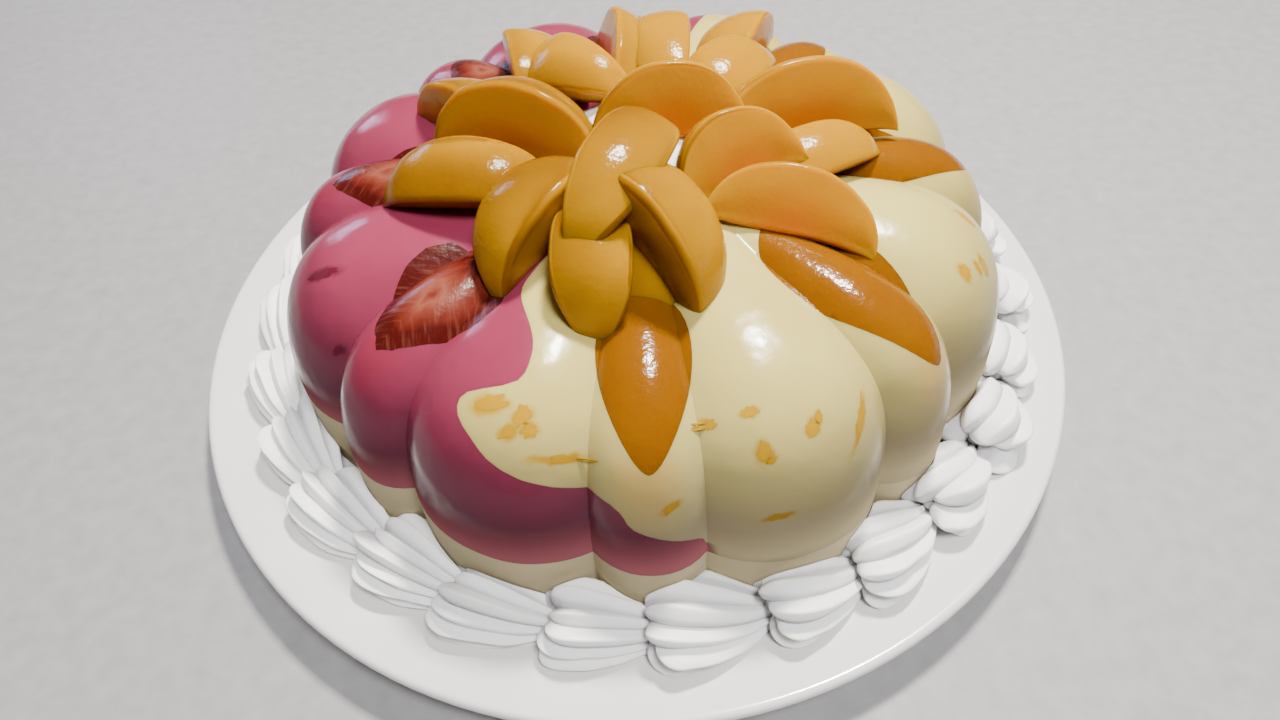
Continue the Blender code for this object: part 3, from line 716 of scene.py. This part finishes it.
def stain_and_glow(tree, colour, rows, tint, strength, core):
    """Lay soft-edged spots of a tint over a colour; each is full as far out as its core. The
    spots serve both as stains of fruit seen through the jelly and as painted glow round the fruit
    in the flutes.
    """
    where = tree.nodes.new("ShaderNodeTexCoord").outputs["Object"]
    ragged = tree.nodes.new("ShaderNodeTexNoise")
    ragged.inputs["Scale"].default_value = 260
    tree.links.new(where, ragged.inputs["Vector"])
    shifted = tree.nodes.new("ShaderNodeVectorMath")
    shifted.operation = "MULTIPLY_ADD"
    shifted.inputs[1].default_value = (SPOT_RAGGEDNESS,) * 3
    tree.links.new(ragged.outputs["Color"], shifted.inputs[0])
    tree.links.new(where, shifted.inputs[2])
    total = None
    for row in rows:
        _, _, length, width, _ = row
        place, axes = scrap_frame(row)
        spot = tree.nodes.new("ShaderNodeMapping")
        spot.vector_type = "TEXTURE"
        spot.inputs["Location"].default_value = place + Vector((SPOT_RAGGEDNESS / 2,) * 3)
        spot.inputs["Rotation"].default_value = axes.to_euler()
        spot.inputs["Scale"].default_value = (length / 2 * MM, width / 2 * MM, SPOT_DEPTH)
        tree.links.new(shifted.outputs[0], spot.inputs["Vector"])
        away = tree.nodes.new("ShaderNodeVectorMath")
        away.operation = "LENGTH"
        tree.links.new(spot.outputs["Vector"], away.inputs[0])
        fade = tree.nodes.new("ShaderNodeMapRange")
        fade.interpolation_type = "SMOOTHSTEP"
        fade.inputs["From Min"].default_value = SPOT_REACH
        fade.inputs["From Max"].default_value = core
        fade.inputs["To Max"].default_value = strength
        tree.links.new(away.outputs["Value"], fade.inputs["Value"])
        if total:
            most = tree.nodes.new("ShaderNodeMath")
            most.operation = "MAXIMUM"
            tree.links.new(total, most.inputs[0])
            tree.links.new(fade.outputs["Result"], most.inputs[1])
            total = most.outputs["Value"]
        else:
            total = fade.outputs["Result"]
    return blend_colours(tree, total, colour, tint)


def jelly_finish(name, pale, deep, foot_shade, waist_shade, haze, radius, stains_and_glows):
    """Cloudy jelly: towards its foot its colour is darkened by painted shade, its gloss fades and
    haze sets in.
    """
    material, tree, shader = new_finish(
        name, 0.2, Subsurface_Weight=0.5, Subsurface_Radius=radius, Subsurface_Scale=1.0)
    cloud = speckle(tree, place_reading(tree), 22, 2)
    colour = ramp(tree, cloud, ((0.35, deep), (0.65, pale)))
    for rows, tint, strength, core in stains_and_glows:
        colour = stain_and_glow(tree, colour, rows, tint, strength, core)
    height = tree.nodes.new("ShaderNodeSeparateXYZ")
    tree.links.new(place_reading(tree, "Object", (1, 1, 1 / FINISH_HEIGHT)), height.inputs[0])
    # Painted shade: the colour is darkened by height, most at the foot, less at the waist and not
    # at the crown.
    depth = ramp(tree, height.outputs["Z"], ((0.12, foot_shade), (0.55, waist_shade), (0.96, (1, 1, 1))))
    painted_shade_mix = tree.nodes.new("ShaderNodeMix")
    painted_shade_mix.data_type = "RGBA"
    painted_shade_mix.blend_type = "MULTIPLY"
    painted_shade_mix.inputs["Factor"].default_value = 1
    tree.links.new(colour, painted_shade_mix.inputs["A"])
    tree.links.new(depth, painted_shade_mix.inputs["B"])
    mirror = tree.nodes.new("ShaderNodeMapRange")
    mirror.inputs["From Min"].default_value = 0.52
    mirror.inputs["From Max"].default_value = 0.80
    mirror.inputs["To Min"].default_value = 1.0
    mirror.inputs["To Max"].default_value = 1.42
    tree.links.new(height.outputs["Z"], mirror.inputs["Value"])
    tree.links.new(mirror.outputs["Result"], shader.inputs["IOR"])
    near_base = ramp(tree, height.outputs["Z"], ((0.42, (0.8, 0.8, 0.8)), (0.61, (0, 0, 0))))
    tree.links.new(
        blend_colours(tree, near_base, painted_shade_mix.outputs["Result"], haze),
        shader.inputs["Base Color"])
    dimples = speckle(tree, place_reading(tree), 55, 2)
    skin = speckle(tree, place_reading(tree), 420, 2)
    relief(tree, shader, ((dimples, 0.22, 0.004), (skin, 0.06, 0.0006)))
    return material


# Each row: piece, slot, node and finish, its pale and deep colour, the painted shade that
# darkens it at the foot and the waist, its haze, how far light goes in, and its stains and
# painted glows, each with its spots, tint, strength and core
jelly_colours = (
    (jelly_pink, "pink", "jelly_pink", "pink_milk_jelly",
     (0.27, 0.033, 0.074), (0.235, 0.028, 0.063), (0.17, 0.42, 0.30), (0.25, 0.46, 0.36),
     (0.36, 0.110, 0.125), (0.004, 0.0015, 0.0018),
     ((BERRY_GLOW, (0.26, 0.015, 0.035), 0.45, 0.2),
      (BERRY_BITS, (0.08, 0.008, 0.02), 0.8, 0.5))),
    (jelly_white, "white", "jelly_white", "white_milk_jelly",
     (0.57, 0.475, 0.145), (0.53, 0.435, 0.125), (0.20, 0.185, 0.48), (0.33, 0.32, 0.64),
     (0.42, 0.35, 0.20), (0.004, 0.0032, 0.002),
     ((PEACH_GLOW, (0.60, 0.34, 0.07), 0.5, 0.2),
      (PEACH_BITS, (0.53, 0.275, 0.006), 0.95, 0.55))),
    (jelly_base, "base", "jelly_base", "clear_milk_jelly",
     (0.52, 0.44, 0.27), (0.42, 0.34, 0.20), (0.8, 0.8, 0.8), (1, 1, 1),
     (0.48, 0.40, 0.24), (0.006, 0.005, 0.003), ()),
)
for piece, slot, node, name, *finish in jelly_colours:
    dress(piece, jelly_finish(name, *finish))
    smooth(piece, 60)
    settle(piece, slot, node)


# Scraps in the jelly. The same scraps of peach and strawberry as flat ragged flakes. Each
# clings to the jelly's skin at the heart of its stain, with its back sunk in the jelly.
BIT_SIZE = 0.42
BIT_RAGGEDNESS = 0.7
BIT_THICKNESS = 1 * MM
BIT_STAND_OFF = 0.03 * MM


def join_up(parts, name):
    """Make several parts into one piece."""
    bpy.ops.object.select_all(action="DESELECT")
    for part in parts:
        part.select_set(True)
    bpy.context.view_layer.objects.active = parts[0]
    bpy.ops.object.join()
    piece = bpy.context.object
    piece.name = name
    return piece


def sunk_bits(name, rows, jelly, finish, slot, seed):
    draws = random.Random(seed)
    bits = []
    for row in rows:
        _, _, length, width, _ = row
        place, axes = scrap_frame(row)
        bpy.ops.object.select_all(action="DESELECT")
        bpy.ops.mesh.primitive_ico_sphere_add(subdivisions=5, radius=1)
        bit = bpy.context.object
        shift = Vector((draws.uniform(0, 50), 0, 0))
        inward = []
        for vert in bit.data.vertices:
            inward.append(min(0.0, vert.co.z))
            around = math.atan2(vert.co.y, vert.co.x)
            rim = Vector((math.cos(around), math.sin(around), 0))
            lump = 1 + BIT_RAGGEDNESS * noise.noise(rim * 1.9 + shift)
            vert.co = place + axes @ Vector((
                vert.co.x * lump * length * BIT_SIZE * MM,
                vert.co.y * lump * width * BIT_SIZE * MM, 0))
        cling = bit.modifiers.new("cling", "SHRINKWRAP")
        cling.target = jelly
        cling.offset = BIT_STAND_OFF
        only(bit)
        bpy.ops.object.modifier_apply(modifier=cling.name)
        for vert, depth in zip(bit.data.vertices, inward):
            vert.co += axes.col[2] * depth * BIT_THICKNESS
        bits.append(bit)
    scraps = join_up(bits, name)
    dress(scraps, finish)
    smooth(scraps, 60)
    settle(scraps, slot)


# The scraps are darkened towards the foot by the same painted shade as the jelly.
veiled_peach = jelly_finish(
    "peach_under_jelly", (0.56, 0.29, 0.006), (0.50, 0.26, 0.005), (0.26, 0.24, 0.5),
    (0.40, 0.39, 0.6), (0.20, 0.11, 0.01), (0.003, 0.002, 0.001), ())
sunk_bits("peach_bits", PEACH_BITS, jelly_white, veiled_peach, "inlay", 11)

veiled_berry = jelly_finish(
    "strawberry_under_jelly", (0.13, 0.012, 0.026), (0.09, 0.007, 0.015), (0.5, 0.5, 0.5),
    (0.7, 0.7, 0.7), (0.06, 0.006, 0.012), (0.003, 0.001, 0.001), ())
sunk_bits("strawberry_bits", BERRY_BITS, jelly_pink, veiled_berry, "strawberry", 12)


# Cream border. Whipped cream piped through a star nozzle in one run of shells, each a
# fat head of fins that runs down to a tail, with the next head laid over it.
SHELL_COUNT = 27
SHELL_FIRST_AZIMUTH = math.radians(273)
SHELL_RING_CENTRE = Vector((3.0 * MM, 0.5 * MM, 0))
SHELL_RING_RADIUS = 133 * MM
SHELL_HEAD = 9 * MM
SHELL_TAIL = 29 * MM
SHELL_HALF_WIDTH = 15 * MM
SHELL_RISE = 13 * MM
SHELL_AXIS_HEIGHT = 8.5 * MM
SHELL_TAIL_INSET = 2 * MM
SHELLS_ON_RIGHT = 13
TONGUE_COLUMNS = 18
TONGUE_RINGS = 24
TONGUE_TIP = 0.80
TONGUE_SEAT = 0.56
TONGUE_CURL_START = 0.7
TONGUE_WIDTH = 0.58
TONGUE_NARROWING = 0.16
TONGUE_CREST_PINCH = 0.62
TONGUE_OVERLAP = 0.18
TONGUE_SWAY = 0.8 * MM
# Points lower than this round a fin get painted shade, deepest at its foot, as in the gaps.
GAP_SHADE_BELOW = 0.60
CORE_SIZE = 0.47
CORE_LENGTH = 0.7
CORE_TIP = 0.75
CORE_COLUMNS = 20
CORE_RINGS = 14
CLEARANCE = 0.3 * MM


def shell_axis(start, along, offset):
    """A point of the ring line the shells sit on, and the direction outwards there."""
    azimuth = start + along / SHELL_RING_RADIUS
    outward = Vector((math.cos(azimuth), math.sin(azimuth), 0))
    return SHELL_RING_CENTRE + outward * (SHELL_RING_RADIUS + offset), outward


def keep_clear(point):
    """Lift a point out of the plate and push it out of the jelly."""
    point.z = max(point.z, plate_top(math.hypot(point.x, point.y)) + CLEARANCE)
    flat = Vector((point.x - JELLY_CENTRE.x, point.y - JELLY_CENTRE.y, 0))
    wall = jelly_reach(math.atan2(flat.y, flat.x), point.z - JELLY_CENTRE.z) + CLEARANCE
    if flat.length < wall:
        flat = flat.normalized() * wall
        point.x, point.y = JELLY_CENTRE.x + flat.x, JELLY_CENTRE.y + flat.y
    return point


def swell_at(way):
    """Fullness of a shell from its tail (0) to its head (1)."""
    return 0.2 + 0.8 * math.sin(math.pi / 2 * min(1.0, way / 0.85)) ** 0.9


def mark_gap_shade(piece, gap_shades):
    """Note at each point how deep it lies between the fins, from 0 to 1, for the painted shade in
    the gaps.
    """
    hollow = piece.data.attributes.new("hollow", "FLOAT", "POINT")
    for vert, depth in zip(piece.data.vertices, gap_shades):
        hollow.data[vert.index].value = depth


def make_tongue(start, offset, size, turn, step, length, curl, lean, seed):
    """One fin of a shell: thin at the tail, broad and rounded where it starts."""
    gap_shades = []

    def place(column, ring):
        way = 0.01 + 0.99 * math.sin(math.pi / 2 * ring / (TONGUE_RINGS - 1))
        along = SHELL_TAIL - (SHELL_TAIL + SHELL_HEAD + length) * way
        swell = swell_at(way) * size
        cap = 1.0
        if way > TONGUE_TIP:
            cap = math.sqrt(max(0.0004, 1 - ((way - TONGUE_TIP) / (1.0 - TONGUE_TIP)) ** 2))
        bend = max(0.0, way - TONGUE_CURL_START) / (1 - TONGUE_CURL_START)
        seat = TONGUE_SEAT + curl * bend ** 2
        angle = turn + lean * (1 - way)
        axis, outward = shell_axis(start, along, offset * way - SHELL_TAIL_INSET * (1 - way))
        base = axis + Vector((0, 0, PLATE_FLOOR_HEIGHT + SHELL_AXIS_HEIGHT * swell))
        radial = outward * math.cos(angle) * SHELL_HALF_WIDTH
        radial += Vector((0, 0, math.sin(angle) * SHELL_RISE))
        side = outward * -math.sin(angle) * SHELL_HALF_WIDTH
        side += Vector((0, 0, math.cos(angle) * SHELL_RISE))
        centre = base + radial * seat * swell
        around = 2 * math.pi * column / TONGUE_COLUMNS
        high, wide = math.sin(around), math.cos(around)
        # How low the point lies round the fin sets its painted shade.
        gap_shades.append(max(0.0, min(1.0, (GAP_SHADE_BELOW - high) / GAP_SHADE_BELOW)) ** 2)
        wide *= 1 - TONGUE_CREST_PINCH * max(0.0, high) ** 0.8
        point = centre + radial * swell * cap * (1 - TONGUE_SEAT) * high
        point += side * swell * cap * step * (TONGUE_WIDTH - TONGUE_NARROWING * way) * wide
        point += radial * swell * cap * TONGUE_OVERLAP * -wide
        sway = Vector((seed, 0, 0)) + point * 120
        point += radial.normalized() * noise.noise(sway) * TONGUE_SWAY
        return keep_clear(point)

    tongue = draw_up("tongue", TONGUE_COLUMNS, TONGUE_RINGS, place)
    mark_gap_shade(tongue, gap_shades)
    return tongue


def make_core(start, offset, size):
    """The solid heart of a shell, which closes the bottom of the gaps between its fins and is
    painted in full shade.
    """
    def place(column, ring):
        way = ring / (CORE_RINGS - 1)
        along = SHELL_TAIL - (SHELL_TAIL + SHELL_HEAD * CORE_LENGTH) * way
        swell = swell_at(way) * size * CORE_SIZE
        if way > CORE_TIP:
            swell *= math.sqrt(max(0.01, 1 - ((way - CORE_TIP) / (1 - CORE_TIP)) ** 2))
        axis, outward = shell_axis(start, along, offset * way - SHELL_TAIL_INSET * (1 - way))
        turn = 2 * math.pi * column / CORE_COLUMNS
        point = axis + outward * math.cos(turn) * SHELL_HALF_WIDTH * swell
        point.z = PLATE_FLOOR_HEIGHT + SHELL_AXIS_HEIGHT * swell_at(way) * size
        point.z += math.sin(turn) * SHELL_RISE * swell
        return keep_clear(point)

    core = draw_up("core", CORE_COLUMNS, CORE_RINGS, place)
    mark_gap_shade(core, [1.0] * len(core.data.vertices))
    return core


def make_shell(number):
    """The parts of one shell: fatter, with fewer and more slanted fins, on the right."""
    draws = random.Random(400 + number)
    start = SHELL_FIRST_AZIMUTH + number * 2 * math.pi / SHELL_COUNT
    on_right = number < SHELLS_ON_RIGHT
    tongues = draws.choice((5, 6)) if on_right else draws.choice((7, 7, 8))
    size = draws.uniform(1.0, 1.08) if on_right else draws.uniform(0.94, 1.04)
    lean = draws.uniform(-0.9, -0.5) if on_right else draws.uniform(-0.25, 0.15)
    offset = draws.uniform(-1.2, 1.2) * MM
    first = math.radians(draws.uniform(-22, -8))
    step = math.radians(draws.uniform(172, 182)) / (tongues - 1)
    parts = [make_core(start, offset, size)]
    for k in range(tongues):
        parts.append(make_tongue(
            start, offset, size * draws.uniform(0.93, 1.05), first + step * k, step,
            draws.uniform(-3.5, 3.5) * MM, draws.uniform(-0.15, 0.12), lean,
            draws.uniform(0, 90)))
    return parts


cream_finish, tree, shader = new_finish(
    "whipped_cream", 0.42, Subsurface_Weight=0.2, Subsurface_Radius=(0.0012, 0.0011, 0.0010),
    Subsurface_Scale=1.0)
froth = speckle(tree, place_reading(tree), 700, 3)
whites = ramp(tree, speckle(tree, place_reading(tree), 60, 2), (
    (0.3, (0.94, 0.93, 0.915)), (0.7, (0.97, 0.96, 0.945))))
# Painted shade: the hollow attribute darkens the gaps between the fins and the cores down to
# grey.
tree.links.new(
    blend_colours(tree, named_amount(tree, "hollow"), whites, (0.52, 0.51, 0.53)),
    shader.inputs["Base Color"])
ripple = speckle(tree, place_reading(tree), 160, 3)
relief(tree, shader, ((froth, 0.12, 0.0006), (ripple, 0.25, 0.0015)))

shells = [part for number in range(SHELL_COUNT) for part in make_shell(number)]
border = join_up(shells, "cream_border_piped")
dress(border, cream_finish)
smooth(border, 75)
settle(border, "cream", "cream_border")


# Cream in the middle. A rough mound of the same cream fills the ring's well and holds
# the peach slices up; it shows only in the gaps between them.
MOUND_RINGS = 22
MOUND_COLUMNS = 64
MOUND_HEIGHT = 12 * MM
MOUND_RADIUS = 31 * MM
MOUND_WALL = 18 * MM
MOUND_WALL_RINGS = 6
MOUND_SHOULDER_DROP = 4 * MM
MOUND_ROUGHNESS = 2.2 * MM


def mound_point(column, ring):
    """Straight up the well's wall, then over a rough dome to its top."""
    azimuth = 2 * math.pi * column / MOUND_COLUMNS
    radius = MOUND_RADIUS
    if ring < MOUND_WALL_RINGS:
        height = JELLY_HEIGHT - WELL_DEPTH + 0.5 * MM + MOUND_WALL * ring / MOUND_WALL_RINGS
    else:
        out = 1 - (ring - MOUND_WALL_RINGS) / (MOUND_RINGS - 1 - MOUND_WALL_RINGS)
        radius *= out
        height = JELLY_HEIGHT - MOUND_SHOULDER_DROP
        height += (MOUND_HEIGHT + MOUND_SHOULDER_DROP) * (1 - out ** 2) ** 0.7
    x, y = radius * math.cos(azimuth), radius * math.sin(azimuth)
    point = JELLY_CENTRE + Vector((x, y, height))
    if ring >= MOUND_WALL_RINGS:
        point.z += MOUND_ROUGHNESS * noise.noise(point * 90)
    return point


mound = draw_up("cream_mound", MOUND_COLUMNS, MOUND_RINGS, mound_point)
dress(mound, cream_finish)
smooth(mound, 60)
settle(mound, "cream", "cream_centre")


# Peach slices. Wedges of stoned peach, wet with syrup, heaped like a flower: a round
# skin side, two flat cut faces with fibres that run out from the stone, and a scooped
# edge where the stone was. One is modelled and copied, and each copy is made uneven.
PEACH_WEDGE = math.radians(58)
PEACH_MIDDLE_DEPTH = 16.7 * MM
PEACH_LENGTH = 56 * MM
PEACH_RADIUS = 25 * MM
# Name, middle x y z in mm, heading, climb and roll in degrees, length and radius in mm
PEACH_HEAP = (
    ("peach_01", 2, -38.5, 112, -116, 1, -15, 60, 24.5),
    ("peach_02", 13, 0, 106.5, 8, 7, -50, 50, 25),
    ("peach_03", 31, -19, 100.5, 24, 6, -60, 42, 25),
    ("peach_04", -29, 0, 104, 158, 0, 40, 56, 25.5),
    ("peach_05", -19, 29, 99.5, 132, -22, -24, 56, 25),
    ("peach_06", 16, 41, 101, 90, -9, -8, 56, 24),
    ("peach_07", 36.5, 20, 100, 45, 2, 14, 54, 23.5),
    ("peach_08", -48.5, -20, 94.5, 170, -4, -16, 60, 25.5),
    ("peach_09", -24.5, -41, 99, -129, -8, 15, 52, 27.5),
    ("peach_10", -9, -61, 97.5, -90, -20, 2, 44, 25),
    ("peach_11", 11, -54.5, 102, -47, -29, -26, 54, 28),
    ("peach_12", 2, -50, 92, -75, -5, 20, 44, 22),
    ("peach_13", 52.5, -33, 92, -18, -9, -69, 52, 22),
    ("peach_14", 56, -18, 93.5, 18, 6, 18, 58, 21),
    ("peach_15", 58.5, 6.5, 99.5, 8, -2, -53, 60, 25.5),
    ("peach_16", 41, 42, 96, 65, 5, -25, 59, 24.5),
    ("peach_17", 6, 45, 97, 95, -10, 47, 58, 25.5),
    ("peach_18", -28.5, 43, 95.5, 102, -5, 25, 52, 25),
    ("peach_19", -45, 14, 95.5, 135, 0, 30, 56, 25.5),
)

SLICE_RINGS = 54
SKIN_STEPS = 20
FACE_STEPS = 12
STONE_STEPS = 6
CORNER_STEPS = 5
CORNER_RADIUS = 2.2 * MM
STONE_REACH = 1.5 * MM
STONE_LENGTH = 0.74
FACE_SWELL = 0.035
SLICE_WAVE = 1.0 * MM
SLICE_DIMPLE = 0.22 * MM
SLICE_SEED = 1


def wedge_section(skin, stone):
    """Points round a slice where its skin and stone lie at two distances from its axis."""
    half = PEACH_WEDGE / 2
    corner = min(CORNER_RADIUS, 0.16 * skin)
    skin_turn = corner / skin
    stone_turn = min(half * 0.5, corner / max(stone, 0.1 * MM))

    def at(turn, reach):
        return Vector((math.sin(turn) * reach, math.cos(turn) * reach))

    def rounded(start, peak, end):
        steps = [(k + 0.5) / CORNER_STEPS for k in range(CORNER_STEPS)]
        return [start * (1 - t) ** 2 + peak * 2 * t * (1 - t) + end * t * t for t in steps]

    points = [
        at(-half + skin_turn + 2 * (half - skin_turn) * k / (SKIN_STEPS - 1), skin)
        for k in range(SKIN_STEPS)]
    sideways = Vector((math.cos(half), -math.sin(half))) * FACE_SWELL * skin
    corner = min(corner, 0.3 * (skin - stone))
    face = [
        at(half, skin - corner - (skin - stone - 2 * corner) * k / (FACE_STEPS - 1))
        + sideways * math.sin(math.pi * k / (FACE_STEPS - 1)) for k in range(FACE_STEPS)]
    points += rounded(points[-1], at(half, skin), face[0]) + face
    hollow = [
        at((half - stone_turn) * (1 - 2 * k / (STONE_STEPS - 1)), stone)
        for k in range(STONE_STEPS)]
    points += rounded(face[-1], at(half, stone), hollow[0]) + hollow
    mirrored = [Vector((-point.x, point.y)) for point in reversed(face)]
    points += rounded(hollow[-1], at(-half, stone), mirrored[0]) + mirrored
    return points + rounded(mirrored[-1], at(-half, skin), points[0])


slice_sections = []
for k in range(SLICE_RINGS):
    turn = math.pi * (0.012 + 0.976 * k / (SLICE_RINGS - 1))
    along = -math.cos(turn)
    skin = PEACH_RADIUS * math.sin(turn) ** 0.92
    stone = STONE_REACH * math.sqrt(max(0.0, 1 - (along / STONE_LENGTH) ** 2))
    slice_sections.append((along * PEACH_LENGTH / 2, wedge_section(skin, max(stone, 0.1 * skin))))


def slice_point(column, ring):
    along, section = slice_sections[ring]
    return along, section[column].x, section[column].y


slice_master = draw_up("slice_master", len(slice_sections[0][1]), SLICE_RINGS, slice_point)

peach_finish, tree, shader = new_finish(
    "peach_slice", 0.14, Subsurface_Weight=0.7, Subsurface_Radius=(0.010, 0.0060, 0.0005),
    Subsurface_Scale=1.0, Specular_IOR_Level=0.12)
# The skin side and the cut faces differ partly in their own colour and partly by painted light:
# the skins, which face the lamp, are painted darker, and the cut faces, turned from it, about
# twice as light.
skin_cloud = speckle(tree, place_reading(tree), 70, 3)
skin = ramp(tree, skin_cloud, ((0.3, (0.178, 0.070, 0.0)), (0.7, (0.200, 0.084, 0.0))))
flesh_fibres = speckle(tree, place_reading(tree, "grain", (1, 0.3, 0.12)), 700, 3)
flesh = ramp(tree, named_amount(tree, "depth"), (
    (0.02, (0.38, 0.178, 0.0)), (0.25, (0.42, 0.170, 0.0)), (0.80, (0.48, 0.125, 0.0))))
tree.links.new(
    blend_colours(tree, named_amount(tree, "skin"), flesh, skin), shader.inputs["Base Color"])
wet_skin = speckle(tree, place_reading(tree), 650, 2)
relief(tree, shader, ((flesh_fibres, 0.12, 0.0005), (wet_skin, 0.2, 0.0006)))


def make_slice(row, number):
    """Copy the slice, make it uneven and lay it in the heap."""
    name, x, y, z, heading, climb, roll, length, radius = row
    piece = twin(slice_master, name + "_slice")
    turned = Matrix.Rotation(math.radians(heading), 4, "Z")
    turned = turned @ Matrix.Rotation(-math.radians(climb), 4, "Y")
    turned = turned @ Matrix.Rotation(math.radians(roll), 4, "X")
    placed = Matrix.Translation((x * MM, y * MM, z * MM)) @ turned
    piece.data.attributes.new("skin", "FLOAT", "POINT")
    piece.data.attributes.new("depth", "FLOAT", "POINT")
    piece.data.attributes.new("grain", "FLOAT_VECTOR", "POINT")
    skin, deep, grain = (piece.data.attributes[key] for key in ("skin", "depth", "grain"))
    shift = Vector((number * 7.3, 0, 0))
    wide = radius * MM / PEACH_RADIUS
    for vert in piece.data.vertices:
        point = vert.co.copy()
        depth = Vector((0, point.y, point.z))
        facing = vert.normal.dot(depth.normalized()) if depth.length > 1e-6 else 0
        skin.data[vert.index].value = max(0.0, min(1.0, (facing - 0.35) / 0.4))
        out = math.sqrt((2 * point.x / PEACH_LENGTH) ** 2 + (depth.length / PEACH_RADIUS) ** 2)
        deep.data[vert.index].value = 1 - min(1.0, out)
        grain.data[vert.index].vector = (
            point.x + shift.x, math.atan2(point.y, point.z) * 0.02, depth.length)
        point += noise.noise_vector(point * 40 + shift) * SLICE_WAVE
        point += noise.noise_vector(point * 120 + shift) * SLICE_DIMPLE
        point.x *= length * MM / PEACH_LENGTH
        point.y *= wide
        point.z *= wide
        vert.co = placed @ (point - Vector((0, 0, PEACH_MIDDLE_DEPTH)))
    dress(piece, peach_finish)
    smooth(piece, 60)
    settle(piece, "peach", name)


# Without a seed a noise vector starts from the clock, and no two runs are alike
noise.seed_set(SLICE_SEED)
for number, row in enumerate(PEACH_HEAP):
    make_slice(row, number)
drop(slice_master, jelly_form)
